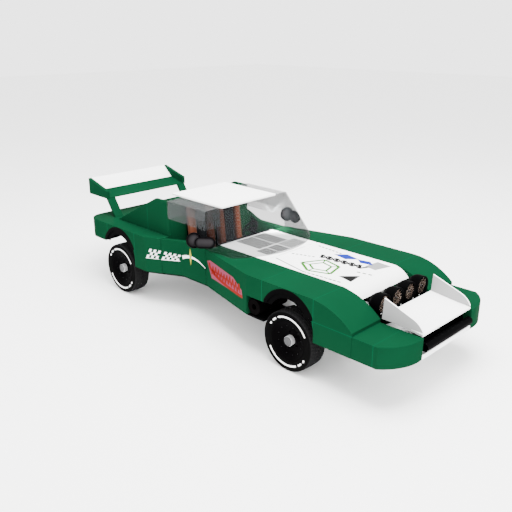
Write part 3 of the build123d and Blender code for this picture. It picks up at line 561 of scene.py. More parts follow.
def new_piece(name, surface, slot, finish=None, body="chassis", smooth_angle=35, stands_for=None):
    """An object from points and faces, with its slot's finish or its own."""
    mesh = mesh_of(name, *surface)
    tidy(mesh)
    thing = finish_piece(in_scene(name, mesh), finish or finishes[slot], body, smooth_angle)
    if stands_for:
        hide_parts(stands_for)


def arc(start, end, count, centre=(0, 0), size=(1, 1)):
    """Points of an ellipse, with t in quarter turns: centre + size * (cos t, sin t)."""
    t = np.linspace(start, end, count) * np.pi / 2
    return np.array(centre) + np.array(size) * np.stack((np.cos(t), np.sin(t)), -1)


def turned(profile, centre, axis, steps=72, closed=False):
    """Surface of revolution: each (radius, height) of the profile is carried round the axis as
    point = centre + radius * (cos a * u + sin a * v) + height * axis."""
    profile = np.asarray(profile, float)
    axis = np.asarray(axis, float)
    u = np.cross((0.0, 0.0, 1.0), axis)
    u /= np.linalg.norm(u)
    v = np.cross(axis, u)
    angle = np.linspace(0, 2 * np.pi, steps, endpoint=False)
    ring = np.cos(angle)[:, None] * u + np.sin(angle)[:, None] * v
    points = np.asarray(centre) + profile[None, :, :1] * ring[:, None, :] + profile[None, :, 1:] * axis
    return points.reshape(-1, 3), quads(steps, len(profile), True, closed)


def prism(outline, origin, u, v, low, high):
    """Closed prism: points origin + a * u + b * v of an outline, carried from low to high along u x v."""
    outline = np.asarray(outline, float)
    u, v = np.asarray(u, float), np.asarray(v, float)
    away = np.cross(u, v)
    flat = np.asarray(origin, float) + outline[:, :1] * u + outline[:, 1:] * v
    count = len(outline)
    ring = np.arange(count)
    walls = np.stack((ring, (ring + 1) % count, (ring + 1) % count + count, ring + count), -1).tolist()
    faces = [ring[::-1].tolist(), (ring + count).tolist(), *walls]
    return np.concatenate((flat + low * away, flat + high * away)), faces


def carried(outline, y_low, y_high):
    """Closed prism: an outline (x, z) carried from one Y to another."""
    return prism(outline, (0, y_low, 0), (1, 0, 0), (0, 0, 1), 0.0, y_low - y_high)


def stroke(start, end, width):
    """Corners of a straight stroke, half a width either side of its line."""
    start, end = np.asarray(start, float), np.asarray(end, float)
    along = (end - start) / np.linalg.norm(end - start)
    side = np.array((-along[1], along[0])) * width / 2
    return np.array((start - side, end - side, end + side, start + side))


def dashes(start, end, width, count, filled=0.6):
    """Strokes of a dashed line: equal steps, of which the filled share is drawn."""
    start, end = np.asarray(start, float), np.asarray(end, float)
    step = (end - start) / count
    return [stroke(start + step * number, start + step * (number + filled), width) for number in range(count)]


def ribbon(start, bend, end, wide, narrow, steps=24):
    """Outline of a tapering curve: (1 - t)^2 start + 2t (1 - t) bend + t^2 end, from wide to narrow."""
    t = np.linspace(0, 1, steps)[:, None]
    start, bend, end = (np.asarray(point, float) for point in (start, bend, end))
    path = (1 - t) ** 2 * start + 2 * t * (1 - t) * bend + t**2 * end
    slope = 2 * (1 - t) * (bend - start) + 2 * t * (end - bend)
    slope /= np.linalg.norm(slope, axis=1)[:, None]
    side = np.stack((-slope[:, 1], slope[:, 0]), -1) * (wide + (narrow - wide) * t) / 2
    return np.concatenate((path - side, (path + side)[::-1]))


# Rigid nodes whose edges are rounded: radius in metres, names and their endings
left_right = [f"_{side}" for side, _ in sides]
wheels = [f"_{end}_{side}" for end in ends for side, _ in sides]
rounded_nodes = (
    (0.004, ("front_wing", "rear_quarter", "bumper_corner", "door"), left_right),
    (0.003, ("hood", "cowl", "nose_panel", "roof", "front_lip"), [""]),
    (0.004, ("buttresses", "bulkhead", "rear_deck", "wing_struts"), [""]),
    (0.002, ("lamp_pods", "grille", "dashboard", "exhausts", "bumper_bar"), [""]),
    (0.0022, ("rim",), wheels),
)


def rounded_copy(name, radius):
    """A copy of a CAD node with its flat faces joined and its sharp edges rounded."""
    mesh = nodes[name].data.copy()
    mesh.name = f"{name}_rounded"
    tidy(mesh, 2e-5, 0.5)
    thing = in_scene(mesh.name, mesh)
    finish_piece(thing, node_finish[name], body_of[name], 30)
    rounding = set_all(thing.modifiers.new("rounding", "BEVEL"), width=radius, segments=2, harden_normals=True)
    set_all(rounding, limit_method="ANGLE", angle_limit=math.radians(32), use_clamp_overlap=True)
    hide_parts(name)


for radius, names, endings in rounded_nodes:
    for name in names:
        for ending in endings:
            rounded_copy(name + ending, radius)


# Tyres: the cross section in metres, from the crown to the bead
crown_half = 0.092
crown_drop = 0.003
bulge_radius = 0.276
bead_half = 0.089
bead_radius = 0.2062
tyre_steps = 432
tread_points = 45
block_count = 54
cut_share = 0.16
groove_depth = 0.0065
groove_places = (-0.045, -0.015, 0.015, 0.045)
groove_half = 0.0034


def tyre_section(radius, half_width):
    """Closed section (radius, across): a crowned tread, two quarter ellipses down each side to the bead, and
    the straight bore."""
    across = np.linspace(-crown_half, crown_half, tread_points)
    tread = np.stack((radius - crown_drop * (across / crown_half) ** 2, across), -1)
    shoulder_size = (radius - crown_drop - bulge_radius, half_width - crown_half)
    shoulder = arc(0, 1, 11, (bulge_radius, crown_half), shoulder_size)[1:]
    wall = arc(1, 2, 11, (bulge_radius, bead_half), (bulge_radius - bead_radius, half_width - bead_half))[1:]
    side = np.concatenate((shoulder, wall))
    bore = np.stack((np.full(5, bead_radius), np.linspace(bead_half, -bead_half, 7)[1:-1]), -1)
    return np.concatenate((tread, side, bore, side[::-1] * (1, -1)))


def tread_cut(turn, across, radius, top):
    """Depth of the tread's grooves: rings, and slanted cuts between blocks, staggered by row."""
    rings = np.any([np.abs(across - place) < groove_half for place in groove_places], axis=0)
    row = np.floor((across - groove_places[0]) / (groove_places[1] - groove_places[0]))
    phase = turn * block_count + row * 0.5 + np.abs(across) * 9.0
    ground = radius > top - 0.0075
    return np.where(ground & (rings | (phase % 1.0 < cut_share)), groove_depth, 0.0)


def make_tyre(name, centre, radius, half_width, sign, body):
    """The section carried round the axle, less the tread's cuts, with a map of turn and signed radius:
    point = centre + (reach * cos a, sign * across, reach * sin a)."""
    section = tyre_section(radius, half_width)
    turn = np.linspace(0, 1, tyre_steps, endpoint=False)
    around, across = np.meshgrid(turn, section[:, 1], indexing="ij")
    reach = np.broadcast_to(section[:, 0], around.shape)
    reach = reach - tread_cut(around, across, reach, radius)
    angle = 2 * np.pi * around
    points = centre + np.stack((reach * np.cos(angle), sign * across, reach * np.sin(angle)), -1)
    faces = quads(tyre_steps, len(section), True, True)
    mesh = mesh_of(name, points.reshape(-1, 3), faces.tolist())
    rows, columns = np.divmod(faces, len(section))
    wrapped = (rows == 0) & (rows.max(axis=1) == tyre_steps - 1)[:, None]
    u = (rows + np.where(wrapped, tyre_steps, 0)) / tyre_steps
    v = section[columns, 0] * np.where(section[columns, 1] >= 0, 1, -1)
    mesh.uv_layers.new(name="tyre_map").data.foreach_set("uv", np.stack((u, v), -1).reshape(-1))
    if sign > 0:
        mesh.flip_normals()
    return finish_piece(in_scene(name, mesh), finishes["tyre_rubber"], body, 40)


# Wheel fittings in metres
nut_radius = 0.0492
nut_rim = 0.004
nut_proud = 0.0025
hub_length = 0.050
# Nuts on a circle: circle, radius, height, count
lug_nuts = (0.078, 0.0105, 0.011, 5)
dish_bolts = (0.146, 0.0042, 0.006, 12)
dish_bolt_depth = 0.0325


# Bright sleeve over the hub's side, and a dull cap with a rounded rim and a dished face: (radius, height)
inside, edge = nut_radius - nut_rim, nut_radius - 0.0025
sleeve = [(inside, 0.002 - hub_length), (nut_radius, 0.002 - hub_length), (nut_radius, -0.003)]
sleeve += [(nut_radius - 0.002, -0.001), (inside, -0.001)]
cap = [(0, -0.0009), (edge, -0.0009), *arc(0, 1, 7, (edge - nut_rim, nut_proud - nut_rim), (nut_rim, nut_rim))]
cap += [(0.036, nut_proud), (0.033, nut_proud - 0.0012), (0, nut_proud - 0.0012)]


def nut_circle(centre, outward, circle, radius, height, count):
    """Six-sided nuts with chamfered tops, on a circle."""
    profile = [(0, 0), (radius, 0), (radius, height * 0.8), (radius * 0.7, height), (0, height)]
    shapes = []
    for number in range(count):
        angle = 2 * math.pi * (number + 0.5) / count
        place = np.asarray(centre) + circle * np.array((math.cos(angle), 0, math.sin(angle)))
        shapes.append(turned(profile, place, outward, 6))
    return join(shapes)


for end in ends:
    for side, sign in sides:
        wheel = f"{end}_{side}"
        body = f"wheel_{wheel}"
        low, high = box_of(f"tyre_{wheel}")
        middle, reach = (low + high) / 2, (high - low) / 2
        tyre = make_tyre(f"tyre_{wheel}_treaded", middle, reach[2], reach[1], sign, body)
        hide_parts(f"tyre_{wheel}")
        outward = np.array((0.0, float(sign), 0.0))
        rim_low, rim_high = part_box(f"rim_{wheel}")
        hub = np.array((middle[0], (rim_high if sign > 0 else rim_low)[1], middle[2]))
        lugs = nut_circle(hub - hub_length * outward, outward, *lug_nuts)
        bolts = nut_circle(hub - dish_bolt_depth * outward, outward, *dish_bolts)
        new_piece(f"hub_sleeve_{wheel}", turned(sleeve, hub, outward, 64, True), "bare_steel", nut_metal, body)
        new_piece(f"hub_cap_{wheel}", turned(cap, hub, outward, 64), "bare_steel", cap_metal, body)
        new_piece(f"lug_nuts_{wheel}", lugs, "rim_black", None, body, 20)
        new_piece(f"dish_bolts_{wheel}", bolts, "bare_steel", bolt_metal, body, 20)


# Arches, in metres: black rims at the liners' outer edges, and thin ones round the openings
arch_height = 0.485
arch_foot = 0.617
arch_rim_reach = 0.3055
arch_steps = 49
# radius, width, outer face's Y, thickness
arch_rims = ((0.3022, 0.052, 0.832, 0.010), (0.343, 0.041, 0.8425, 0.0022))


def arch_rim(axle_x, sign, radius, width, outer_y, thickness):
    """Flat rim of an arch above the liner's foot: a section of four corners carried along
    point = (axle_x + r * cos t, y, arch_height + r * sin t)."""
    inner, inner_y = radius - width, outer_y - thickness
    lines = []
    for reach, y in ((radius, outer_y), (radius, inner_y), (inner, inner_y), (inner, outer_y)):
        start = math.asin((arch_foot - arch_height) / reach)
        t = np.linspace(start, math.pi - start, arch_steps)
        x = axle_x + np.clip(reach * np.cos(t), -arch_rim_reach, arch_rim_reach)
        lines.append(np.stack((x, np.full(arch_steps, sign * y), arch_height + reach * np.sin(t)), -1))
    points = np.stack(lines, axis=1).reshape(-1, 3)
    last = len(points) - 1
    caps = [[0, 1, 2, 3], [last - 3, last - 2, last - 1, last]]
    return points, quads(arch_steps, 4, wrap_columns=True).tolist() + caps


arches = []
for end in ends:
    low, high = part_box(f"tyre_{end}_left")
    arches += [arch_rim((low[0] + high[0]) / 2, sign, *sizes) for _, sign in sides for sizes in arch_rims]
new_piece("arch_flanges", join(arches), "black_trim")

# Fillers between the bulkhead's ends and the quarters, in metres
low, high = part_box("bulkhead")
filler_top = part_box("rear_deck")[1][2] - 0.001
filler_outer_y = 0.6315
filler_foot = 0.500
filler = [(low[0], filler_foot), (high[0], filler_foot), (high[0], filler_top), (low[0], filler_top)]
fillers = [carried(filler, sign * (high[1] + 0.0005), sign * filler_outer_y) for _, sign in sides]
new_piece("bulkhead_ends", join(fillers), "body_green")

# Rear wing, in metres: end plates proud of a white panel, and a green nose ahead of it
low, high = box_of("wing_body")
plate_thickness = 0.042
plate_front_height = 0.093
wing_nose_rise = 0.005
wing_nose_reach = 0.250
panel_front_rise = 0.063
panel_lift = np.array((0, 0.003))
panel_foot = np.array((high[0] - wing_nose_reach, low[2] + panel_front_rise))
panel_head = np.array((low[0], high[2])) - panel_lift
wing_foot = [(low[0], low[2]), (high[0], low[2])]
plate = [*wing_foot, (high[0], low[2] + plate_front_height), (low[0], high[2])]
core = [*wing_foot, (high[0], low[2] + wing_nose_rise), panel_foot, panel_head]
panel = [panel_foot, panel_foot + panel_lift, panel_head + panel_lift, panel_head]
inner_span = high[1] - plate_thickness
shell = [
    carried(core, -inner_span, inner_span),
    carried(plate, inner_span, high[1]),
    carried(plate, low[1], -inner_span),
]
new_piece("wing_shell", join(shell), "body_green", stands_for="wing_body")
new_piece("wing_panel", carried(panel, -inner_span, inner_span), "body_white", stands_for="wing_top")


# Spot lamps: sizes in metres
lamp_count = 4
lamp_bowl = 0.096
lamp_ring_length = 0.060
face_radius = 0.074
bezel_width = 0.006
bezel_proud = 0.004
screw_radius = 0.0062
screw_shifts = (-0.058, 0.049, 0.047, -0.056)
low, high = box_of("lamp_lenses")
lens_radius = (high[2] - low[2]) / 2
lamp_pitch = (high[1] - low[1] - 2 * lens_radius) / (lamp_count - 1)
lamp_centres = [
    np.array((low[0], low[1] + lens_radius + number * lamp_pitch, (low[2] + high[2]) / 2))
    for number in range(lamp_count)
]
forward = np.array((1.0, 0.0, 0.0))


def reflector():
    """Dished reflector: its height rises with the square of the radius, in seven steps."""
    reach = np.linspace(0.010, face_radius, 7)
    dish = 0.0008 + 0.0105 * (reach / face_radius) ** 2
    return [(0, 0.0008), *np.stack((reach, dish), -1), (face_radius, 0.0003), (0.0, 0.0003)]


def cover_glass():
    """Domed cover glass: two parabolic caps joined at the rim."""
    t = np.linspace(0, 1, 10)
    edge = face_radius + 0.004
    outer = np.stack((edge * t, 0.0250 - 0.0060 * t**2), -1)
    inner = np.stack((edge * t, 0.0232 - 0.0058 * t**2), -1)[::-1]
    return np.concatenate((outer, inner))


def bowl():
    """Smooth lamp bowl: a short barrel and a half ellipse behind it, open at the front."""
    back, outside, inside = 0.026 - lamp_ring_length, lamp_bowl + 0.001, lamp_bowl - 0.003
    outer = arc(0, 1, 12, (0, back), (outside, -0.088))
    inner = arc(0, 1, 12, (0, back), (inside, -0.085))[::-1]
    return [(outside, 0.026), *outer, *inner, (inside, 0.026)]


def bezel():
    """Black shade round the reflector and a rounded ring over the lamp's rim, closed."""
    ring, shade = lamp_bowl - bezel_width, lens_radius - 0.001
    lip = arc(-1, 2, 10, (ring, 0.0262), (bezel_width, bezel_proud))
    foot = [(face_radius + 0.001, 0.0004), (shade, 0.0004), (shade, 0.0260)]
    return [*foot, *lip, (ring - bezel_width, 0.0225), (face_radius + 0.003, 0.0155)]


# A lamp's pieces: section, steps, whether it is closed, slot, own finish, smoothing angle, node it stands for
lamp_pieces = {
    "lamp_reflectors": (reflector(), 24, False, "bare_steel", reflector_chrome, 2, None),
    "lamp_covers": (cover_glass(), 64, False, "lamp_glass", None, 35, "lamp_lenses"),
    "lamp_bowls": (bowl(), 72, False, "black_trim", None, 35, None),
    "lamp_bezels": (bezel(), 72, True, "black_trim", None, 35, None),
    "lamp_bulbs": (
        [(0, 0.001), (0.011, 0.001), *arc(0, 1, 8, (0, 0.004), (0.011, 0.011))],
        24, False, "bare_steel", cap_metal, 35, None,
    ),
}
for name, (section, steps, closed, slot, finish, smooth_angle, stands_for) in lamp_pieces.items():
    lamps = [turned(section, centre, forward, steps, closed) for centre in lamp_centres]
    new_piece(name, join(lamps), slot, finish, smooth_angle=smooth_angle, stands_for=stands_for)

# Round screw heads at the feet of the lamps' rings
screw = [(0, -0.004), (screw_radius, -0.004), *arc(0, 1, 6, (0, 0.003), (screw_radius, 0.004))]
screws = []
for centre, shift in zip(lamp_centres, screw_shifts):
    place = centre + np.array((0.026, shift, -math.sqrt(lamp_bowl**2 - shift**2) + 0.004))
    screws.append(turned(screw, place, forward, 16))
new_piece("lamp_screws", join(screws), "bare_steel", screw_metal)


# Mirrors and steering wheel: places and sizes in metres and degrees
mirror_place = np.array((-0.222, 0.735, 0.945))
mirror_radius = 0.086
mirror_face = 0.043
mirror_glass_radius = 0.066
arm_place = np.array((-0.075, 0.707, 0.945))
arm_radius = 0.062
arm_straight = 0.051
arm_turn = 40
cabin_side = 0.6303
steering_place = (-0.329, 0.210, 0.846)
steering_tilt = 22
steering_radius = 0.105
steering_tube = 0.012


def mirror_ball(sign):
    """Ball housing with a flat face to the rear."""
    start = 1 - math.acos(-mirror_face / mirror_radius) * 2 / math.pi
    ball = arc(start, 1, 22, size=(mirror_radius, mirror_radius))
    edge, sunk = mirror_glass_radius, 0.005 - mirror_face
    profile = [(0, sunk), (edge, sunk), (edge + 0.003, -mirror_face), *ball]
    return turned(profile, mirror_place * (1, sign, 1), forward, 64)


def mirror_arm(sign):
    """Round-ended arm from the ball, flat where it meets the cabin's side."""
    turn = math.radians(arm_turn)
    end = arc(1, 0, 12, (0, arm_straight), (arm_radius, arm_radius))
    profile = np.concatenate((end, end[::-1] * (1, -1)))
    along = (math.cos(turn), -sign * math.sin(turn), 0.0)
    points, faces = turned(profile, arm_place * (1, sign, 1), along, 56)
    points[:, 1] = sign * np.maximum(sign * points[:, 1], cabin_side)
    return points, faces


def mirror_glass(sign):
    """Flat round mirror in the housing's face."""
    edge = mirror_glass_radius - 0.002
    profile = [(0, -0.003), (edge, -0.003), (edge, 0.001), (edge - 0.002, 0.0025), (0, 0.0025)]
    return turned(profile, mirror_place * (1, sign, 1) + (0.004 - mirror_face, 0, 0), -forward, 56)


housings = [shape(sign) for _, sign in sides for shape in (mirror_ball, mirror_arm)]
new_piece("mirror_housings", join(housings), "gloss_black", mirror_shell, stands_for="mirrors")
new_piece("mirror_glasses", join([mirror_glass(sign) for _, sign in sides]), "bare_steel", mirror_chrome)


def steering_surface():
    """Steering wheel: a round rim, a domed hub, the column and three flat spokes."""
    tilt = math.radians(steering_tilt)
    axis = np.array((-math.cos(tilt), 0.0, math.sin(tilt)))
    across = np.array((0.0, 1.0, 0.0))
    rise = np.cross(axis, across)
    tube = arc(0, 4, 17, (steering_radius, 0), (steering_tube, steering_tube))[:-1]
    hub = [(0, -0.006), (0.030, -0.006), (0.030, 0.004), (0.026, 0.010), (0.012, 0.013), (0, 0.013)]
    column = [(0, -0.128), (0.0165, -0.128), (0.0165, -0.004), (0, -0.004)]
    shapes = [turned(tube, steering_place, axis, 72, True), turned(hub, steering_place, axis, 40)]
    shapes.append(turned(column, steering_place, axis, 32))
    spoke = [(0.024, -0.013), (0.060, -0.010), (0.098, -0.012)]
    spoke += [(reach, -wide) for reach, wide in spoke[::-1]]
    for angle in (0, 180, 270):
        turn = math.radians(angle)
        out = math.cos(turn) * across + math.sin(turn) * rise
        side = -math.sin(turn) * across + math.cos(turn) * rise
        shapes.append(prism(spoke, steering_place, out, side, -0.003, 0.003))
    return join(shapes)


new_piece("steering_wheel_round", steering_surface(), "black_trim", wheel_leather, stands_for="steering_wheel")


# Films. Places on the hood are metres ahead and to the left, and on a flank metres along and up.
hood_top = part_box("hood")[1][2]
ahead, left, up = np.eye(3)


def hood_films():
    """Dashed lines, nested outlined frames, blue lozenges, a zigzag and two vents."""
    frame_corners = np.array(((0.84, -0.20), (1.03, -0.33), (1.25, -0.25), (1.19, -0.03), (0.96, 0.03)))
    centre = frame_corners.mean(axis=0)
    inner_corners = centre + 0.58 * (frame_corners - centre)
    lime = []
    for corners, width in ((frame_corners, 0.030), (inner_corners, 0.024)):
        lime += [stroke(start, end, width) for start, end in zip(corners, np.roll(corners, -1, axis=0))]
    lime += [stroke(start, end, 0.016) for start, end in zip(inner_corners, frame_corners)]
    steps = np.linspace(0, 1, 13)
    zigzag = np.stack((0.84 + 0.56 * steps, 0.095 + 0.03 * steps + 0.048 * (-1.0) ** np.arange(13)), -1)
    tangle = [stroke(zigzag[n], zigzag[n + 1], 0.034) for n in range(12)]
    tangle += [stroke(zigzag[n], zigzag[n + 3], 0.020) for n in range(0, 10, 2)]
    green = [
        *dashes((0.62, 0.335), (0.98, 0.300), 0.022, 7),
        *dashes((0.58, -0.060), (0.84, 0.030), 0.022, 6),
        *dashes((1.40, -0.02), (1.58, 0.015), 0.022, 3),
    ]
    lozenge = np.array(((-0.150, -0.020), (-0.040, 0.075), (0.140, 0.030), (0.030, -0.062)))
    blue = [lozenge + (1.06, 0.255), lozenge * (0.75, -0.75) + (1.300, 0.265)]
    black = [
        *tangle,
        stroke((0.56, -0.285), (1.02, -0.385), 0.014),
        *dashes((1.02, -0.385), (1.47, -0.350), 0.020, 9, 0.75),
        ((1.34, -0.235), (1.52, -0.275), (1.49, -0.085)),
    ]
    grey = [((1.36, 0.165), (1.50, 0.145), (1.55, 0.345), (1.38, 0.360))]
    return {"black": black, "green": green, "lime": lime, "blue": blue, "grey": grey}


# Painted shade under the screen: grey and pale patches on the cowl, standing for the shade of the glass layers
# over it
cowl_painted_shade = {
    "grey": [
        ((-0.130, -0.205), (0.235, -0.205), (0.235, 0.040), (-0.130, 0.040)),
        ((-0.130, 0.052), (0.235, 0.052), (0.235, 0.250), (-0.130, 0.250)),
        ((0.260, -0.280), (0.440, -0.280), (0.455, -0.125), (0.260, -0.125)),
        ((0.260, -0.113), (0.455, -0.113), (0.462, 0.045), (0.260, 0.045)),
    ],
    "pale": [((0.250, 0.065), (0.462, 0.065), (0.440, 0.340), (0.250, 0.340))],
}


def lay_films(name, layers, origin, u, v, body, slot, way=1):
    """One thin piece for each colour of a pattern, at that colour's own height above its panel."""
    for colour, outlines in layers.items():
        lift = way * film_lift * (1 + film_order.index(colour) / len(film_order))
        shapes = [prism(outline, origin, u, v, 0.0, lift) for outline in outlines]
        new_piece(f"{name}_{colour}", join(shapes), slot, film_finish[colour], body)


lay_films("hood_film", hood_films(), (0, 0, hood_top), ahead, left, "hood", "body_white")
# Painted shade: the cowl's patches are laid as thin grey and pale films
lay_films("cowl_shade_film", cowl_painted_shade, (0, 0, hood_top), ahead, left, "chassis", "body_white")

# Flank in plan: stations and half widths of the slanted and the flat runs
flank_wide = 0.840
flank_waist = 0.630
rear_slant = ((-0.992, flank_wide), (-0.572, flank_waist))
door_run = ((-0.572, flank_waist), (-0.152, flank_waist))
front_slant = ((-0.152, flank_waist), (0.688, flank_wide))

# Chequered band on the rear flank, in metres, with what it rises and loses per metre
check_foot = 0.585
check_rise = 0.02
check_height = 0.112
check_taper = 0.105
check_rows = 3
check_pitch = 0.030
check_lean = 0.45


def checks(start, count):
    """Rows of slanted checks, filled by turns, that grow lower along the car."""
    shapes = []
    for number, row in ((number, row) for number in range(count) for row in range(check_rows)):
        if (number + row) % 2 == 0:
            x = start + number * check_pitch
            tall = (check_height - check_taper * x) / check_rows
            foot, lean = check_foot + check_rise * x + row * tall, check_lean * tall
            x += row * lean
            top, end = foot + tall, x + check_pitch
            shapes.append(((x, foot), (end, foot), (end + lean, top), (x + lean, top)))
    return shapes


def wing_waves():
    """Teeth of short strokes between two tapering sweeps."""
    waves = []
    for number in range(10):
        start, lift = 0.125 + 0.062 * number, 0.010 * math.sin(number * 1.3)
        top = (start + 0.036, 0.692 + lift)
        waves += [stroke((start, 0.590 + lift), top, 0.024), stroke(top, (start + 0.058, 0.600 + lift), 0.020)]
    waves.append(ribbon((0.075, 0.710), (0.045, 0.560), (0.785, 0.566), 0.044, 0.030))
    waves.append(ribbon((0.140, 0.640), (0.400, 0.655), (0.740, 0.625), 0.018, 0.014))
    return waves


# Films of a flank: name, layers, run and the node that carries them
rear_band = ((0.008, 0.578), (0.176, 0.580), (0.176, 0.584), (0.008, 0.584))
door_band = stroke((0.205, 0.582), (0.440, 0.590), 0.008)
door_star = ((0.128, 0.690), (0.146, 0.780), (0.170, 0.690), (0.152, 0.580))
door_sweep = ribbon((0.006, 0.640), (0.200, 0.730), (0.400, 0.610), 0.042, 0.004)
wing_lozenge = ((0.022, 0.712), (0.090, 0.738), (0.600, 0.715), (0.772, 0.635), (0.790, 0.560), (0.120, 0.545))
flank_films = (
    ("quarter_film", {"white": [*checks(0.012, 5), rear_band]}, rear_slant, "rear_quarter"),
    ("door_slant_film", {"white": [*checks(0.212, 7), door_band]}, rear_slant, "door"),
    ("door_flat_film", {"white": [door_sweep], "yellow": [door_star]}, door_run, "door"),
    ("wing_film", {"pink": [wing_lozenge], "red": wing_waves()}, front_slant, "front_wing"),
)
for side, sign in sides:
    for name, layers, run, panel in flank_films:
        node = f"{panel}_{side}"
        start, end = (np.array((x, sign * y, 0.0)) for x, y in run)
        along = (end - start) / np.linalg.norm(end - start)
        lay_films(f"{name}_{side}", layers, start, along, up, body_of[node], slot_of[node], -sign)


# Seats: pads over a moulded shell. Sizes are in metres.
pad_voxel = 0.006
pad_pressure = 4.0
pad_cap = 0.012
pad_frames = 20
pad_gap = 0.002
bolster_width = 0.088
bolster_inset = 0.006
shell_inset = 0.012
seam_depth = 0.006
seam_spread = 0.004
back_seam_pitch = 0.078
base_seam_pitch = 0.085


def evaluated(thing):
    """A piece as its modifiers make it."""
    return thing.evaluated_get(bpy.context.evaluated_depsgraph_get())


def applied(thing):
    """Replace a piece's mesh by what its modifiers make of it."""
    old, mesh = thing.data, bpy.data.meshes.new_from_object(evaluated(thing))
    thing.modifiers.clear()
    thing.data = mesh
    bpy.data.meshes.remove(old)


def corners_of(mesh):
    """A mesh's points as rows of X, Y and Z."""
    flat = np.empty(3 * len(mesh.vertices))
    mesh.vertices.foreach_get("co", flat)
    return flat.reshape(-1, 3)


def stuffed(name, surface):
    """A filled pad: an even mesh of the block, swollen as cloth, with its movement capped."""
    mesh = mesh_of(name, *surface)
    tidy(mesh)
    thing = in_scene(name, mesh)
    set_all(thing.modifiers.new("even", "REMESH"), mode="VOXEL", voxel_size=pad_voxel)
    applied(thing)
    set_all(thing.modifiers.new("soften", "SMOOTH"), iterations=8, factor=0.6)
    applied(thing)
    start = corners_of(thing.data)
    cloth = thing.modifiers.new("cloth", "CLOTH")
    set_all(cloth.settings, use_pressure=True, uniform_pressure_force=pad_pressure)
    cloth.settings.effector_weights.gravity = 0.0
    cloth.point_cache.frame_end = pad_frames
    for step in range(1, pad_frames + 1):
        bpy.context.scene.frame_set(step)
    moved = corners_of(evaluated(thing).data) - start
    thing.modifiers.clear()
    bpy.context.scene.frame_set(1)
    length = np.linalg.norm(moved, axis=1, keepdims=True)
    return start + moved * np.minimum(1.0, pad_cap / np.maximum(length, 1e-9)), thing


def channels(along, start, pitch):
    """Depth of sewn channels: a narrow bell curve in the middle of every pitch."""
    away = (along - start) % pitch - pitch / 2
    return seam_depth * np.exp(-((away / seam_spread) ** 2))


def sewn_back(points, profile):
    """Channels across the back's front, half a pitch from its foot and its head."""
    half, height = back_seam_pitch / 2, points[:, 2]
    (foot_x, foot_z), head_z = profile[0], profile[1][1]
    inside = (height > foot_z + half) & (height < head_z - half) & (points[:, 0] > foot_x - 0.030)
    points[:, 0] -= inside * channels(height, foot_z - half, back_seam_pitch)


def sewn_base(points, profile):
    """Channels across the cushion's top."""
    inside = points[:, 2] > profile[0][1] - 0.030
    points[:, 2] -= inside * channels(points[:, 0], profile[0][0], base_seam_pitch)


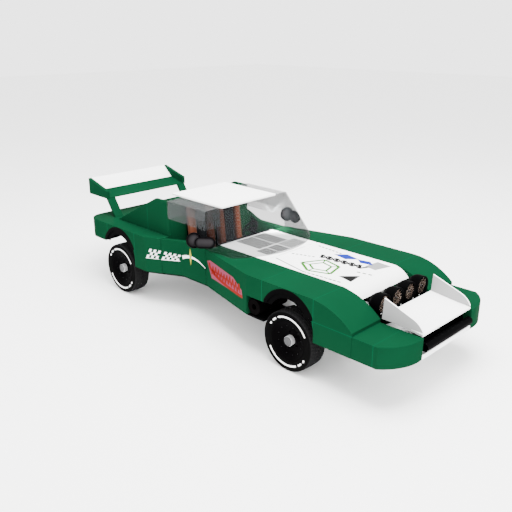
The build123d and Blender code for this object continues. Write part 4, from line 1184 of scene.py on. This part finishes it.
for side, _ in sides:
    low, high = box_of(f"seat_{side}")
    # Outlines from the side
    foot, cushion, top, front, lean = low[0] + 0.100, 0.540, high[2], high[0], 0.040
    shell = [
        (foot - 0.060, low[2]), (front - 0.030, low[2]), (front - 0.020, 0.452),
        (foot - 0.020, 0.448), (foot - 0.050, 0.540), (foot - 0.094, top - 0.030),
        (low[0] + 0.001, top - 0.034), (foot - 0.066, 0.520),
    ]
    head = foot - lean
    back_centre = [(foot + 0.004, cushion + 0.012), (head + 0.004, top - 0.045)]
    back_centre += [(head - 0.046, top - 0.045), (foot - 0.046, cushion + 0.012)]
    back_bolster = [(foot + 0.040, cushion + 0.060), (head + 0.020, top - 0.010)]
    back_bolster += [(head - 0.050, top - 0.010), (foot - 0.046, cushion + 0.060)]
    base_centre = [(foot + 0.012, cushion + 0.002), (front - 0.010, cushion + 0.014)]
    base_centre += [(front - 0.010, cushion - 0.075), (foot + 0.012, cushion - 0.075)]
    base_bolster = [(foot + 0.050, cushion + 0.040), (front - 0.008, cushion + 0.036)]
    base_bolster += [(front - 0.008, cushion - 0.085), (foot + 0.050, cushion - 0.085)]
    surface = carried(shell, low[1] + shell_inset, high[1] - shell_inset)
    new_piece(f"seat_shell_{side}", surface, "black_trim", stands_for=f"seat_{side}")
    inner = bolster_width + pad_gap
    spans = {
        "centre": (low[1] + inner, high[1] - inner),
        "bolster_a": (low[1] + bolster_inset, low[1] + bolster_width),
        "bolster_b": (high[1] - bolster_width, high[1] - bolster_inset),
    }
    halves = (("back", back_centre, back_bolster, sewn_back), ("base", base_centre, base_bolster, sewn_base))
    for part, centre, bolster, sewn in halves:
        for place, span in spans.items():
            in_middle = place == "centre"
            block = carried(centre if in_middle else bolster, *span)
            points, pad = stuffed(f"seat_{part}_{place}_{side}", block)
            if in_middle:
                sewn(points, centre)
            pad.data.vertices.foreach_set("co", points.reshape(-1))
            pad.data.update()
            finish_piece(pad, seat_cloth if in_middle else finishes["seat_trim"], "chassis", 60)
            set_all(pad.modifiers.new("smooth", "SUBSURF"), levels=1, render_levels=1)


# Floor, light and camera
corners = [(x * floor_half, y * floor_half, 0) for x, y in ((-1, -1), (1, -1), (1, 1), (-1, 1))]
floor = in_scene("studio_floor", mesh_of("studio_floor", corners, [(0, 1, 2, 3)]))
coat = Coat("studio_floor_paint", 60.0, 0.6, Roughness=0.7)
coat.give(Base_Color=coat.blend(coat.patches, scaled(studio_white, 0.985), studio_white))
floor.data.materials.append(coat.material)
floor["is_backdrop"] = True

for name, (place, target, size, power) in lights.items():
    lamp = in_scene(name, set_all(bpy.data.lights.new(name, "AREA"), shape="SQUARE", size=size, energy=power))
    x, y, z = np.array(place) - np.array(target)
    turn = (math.atan2(math.hypot(x, y), z), 0, math.atan2(x, -y))
    set_all(lamp, visible_camera=False, visible_glossy=False, location=place, rotation_euler=turn)

world = set_all(bpy.data.worlds.new("studio_world"), use_nodes=True)
sky = world.node_tree.nodes["Background"].inputs
sky["Color"].default_value = (1.0, 1.0, 1.0, 1)
sky["Strength"].default_value = world_strength

camera = in_scene("picture_camera", bpy.data.cameras.new("picture_camera"))
set_all(camera.data, lens=camera_lens, sensor_width=36.0, clip_end=camera_reach)
set_all(camera, location=camera_place, rotation_euler=[math.radians(angle) for angle in camera_turn])
set_all(bpy.context.scene, world=world, camera=camera)

low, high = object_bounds()
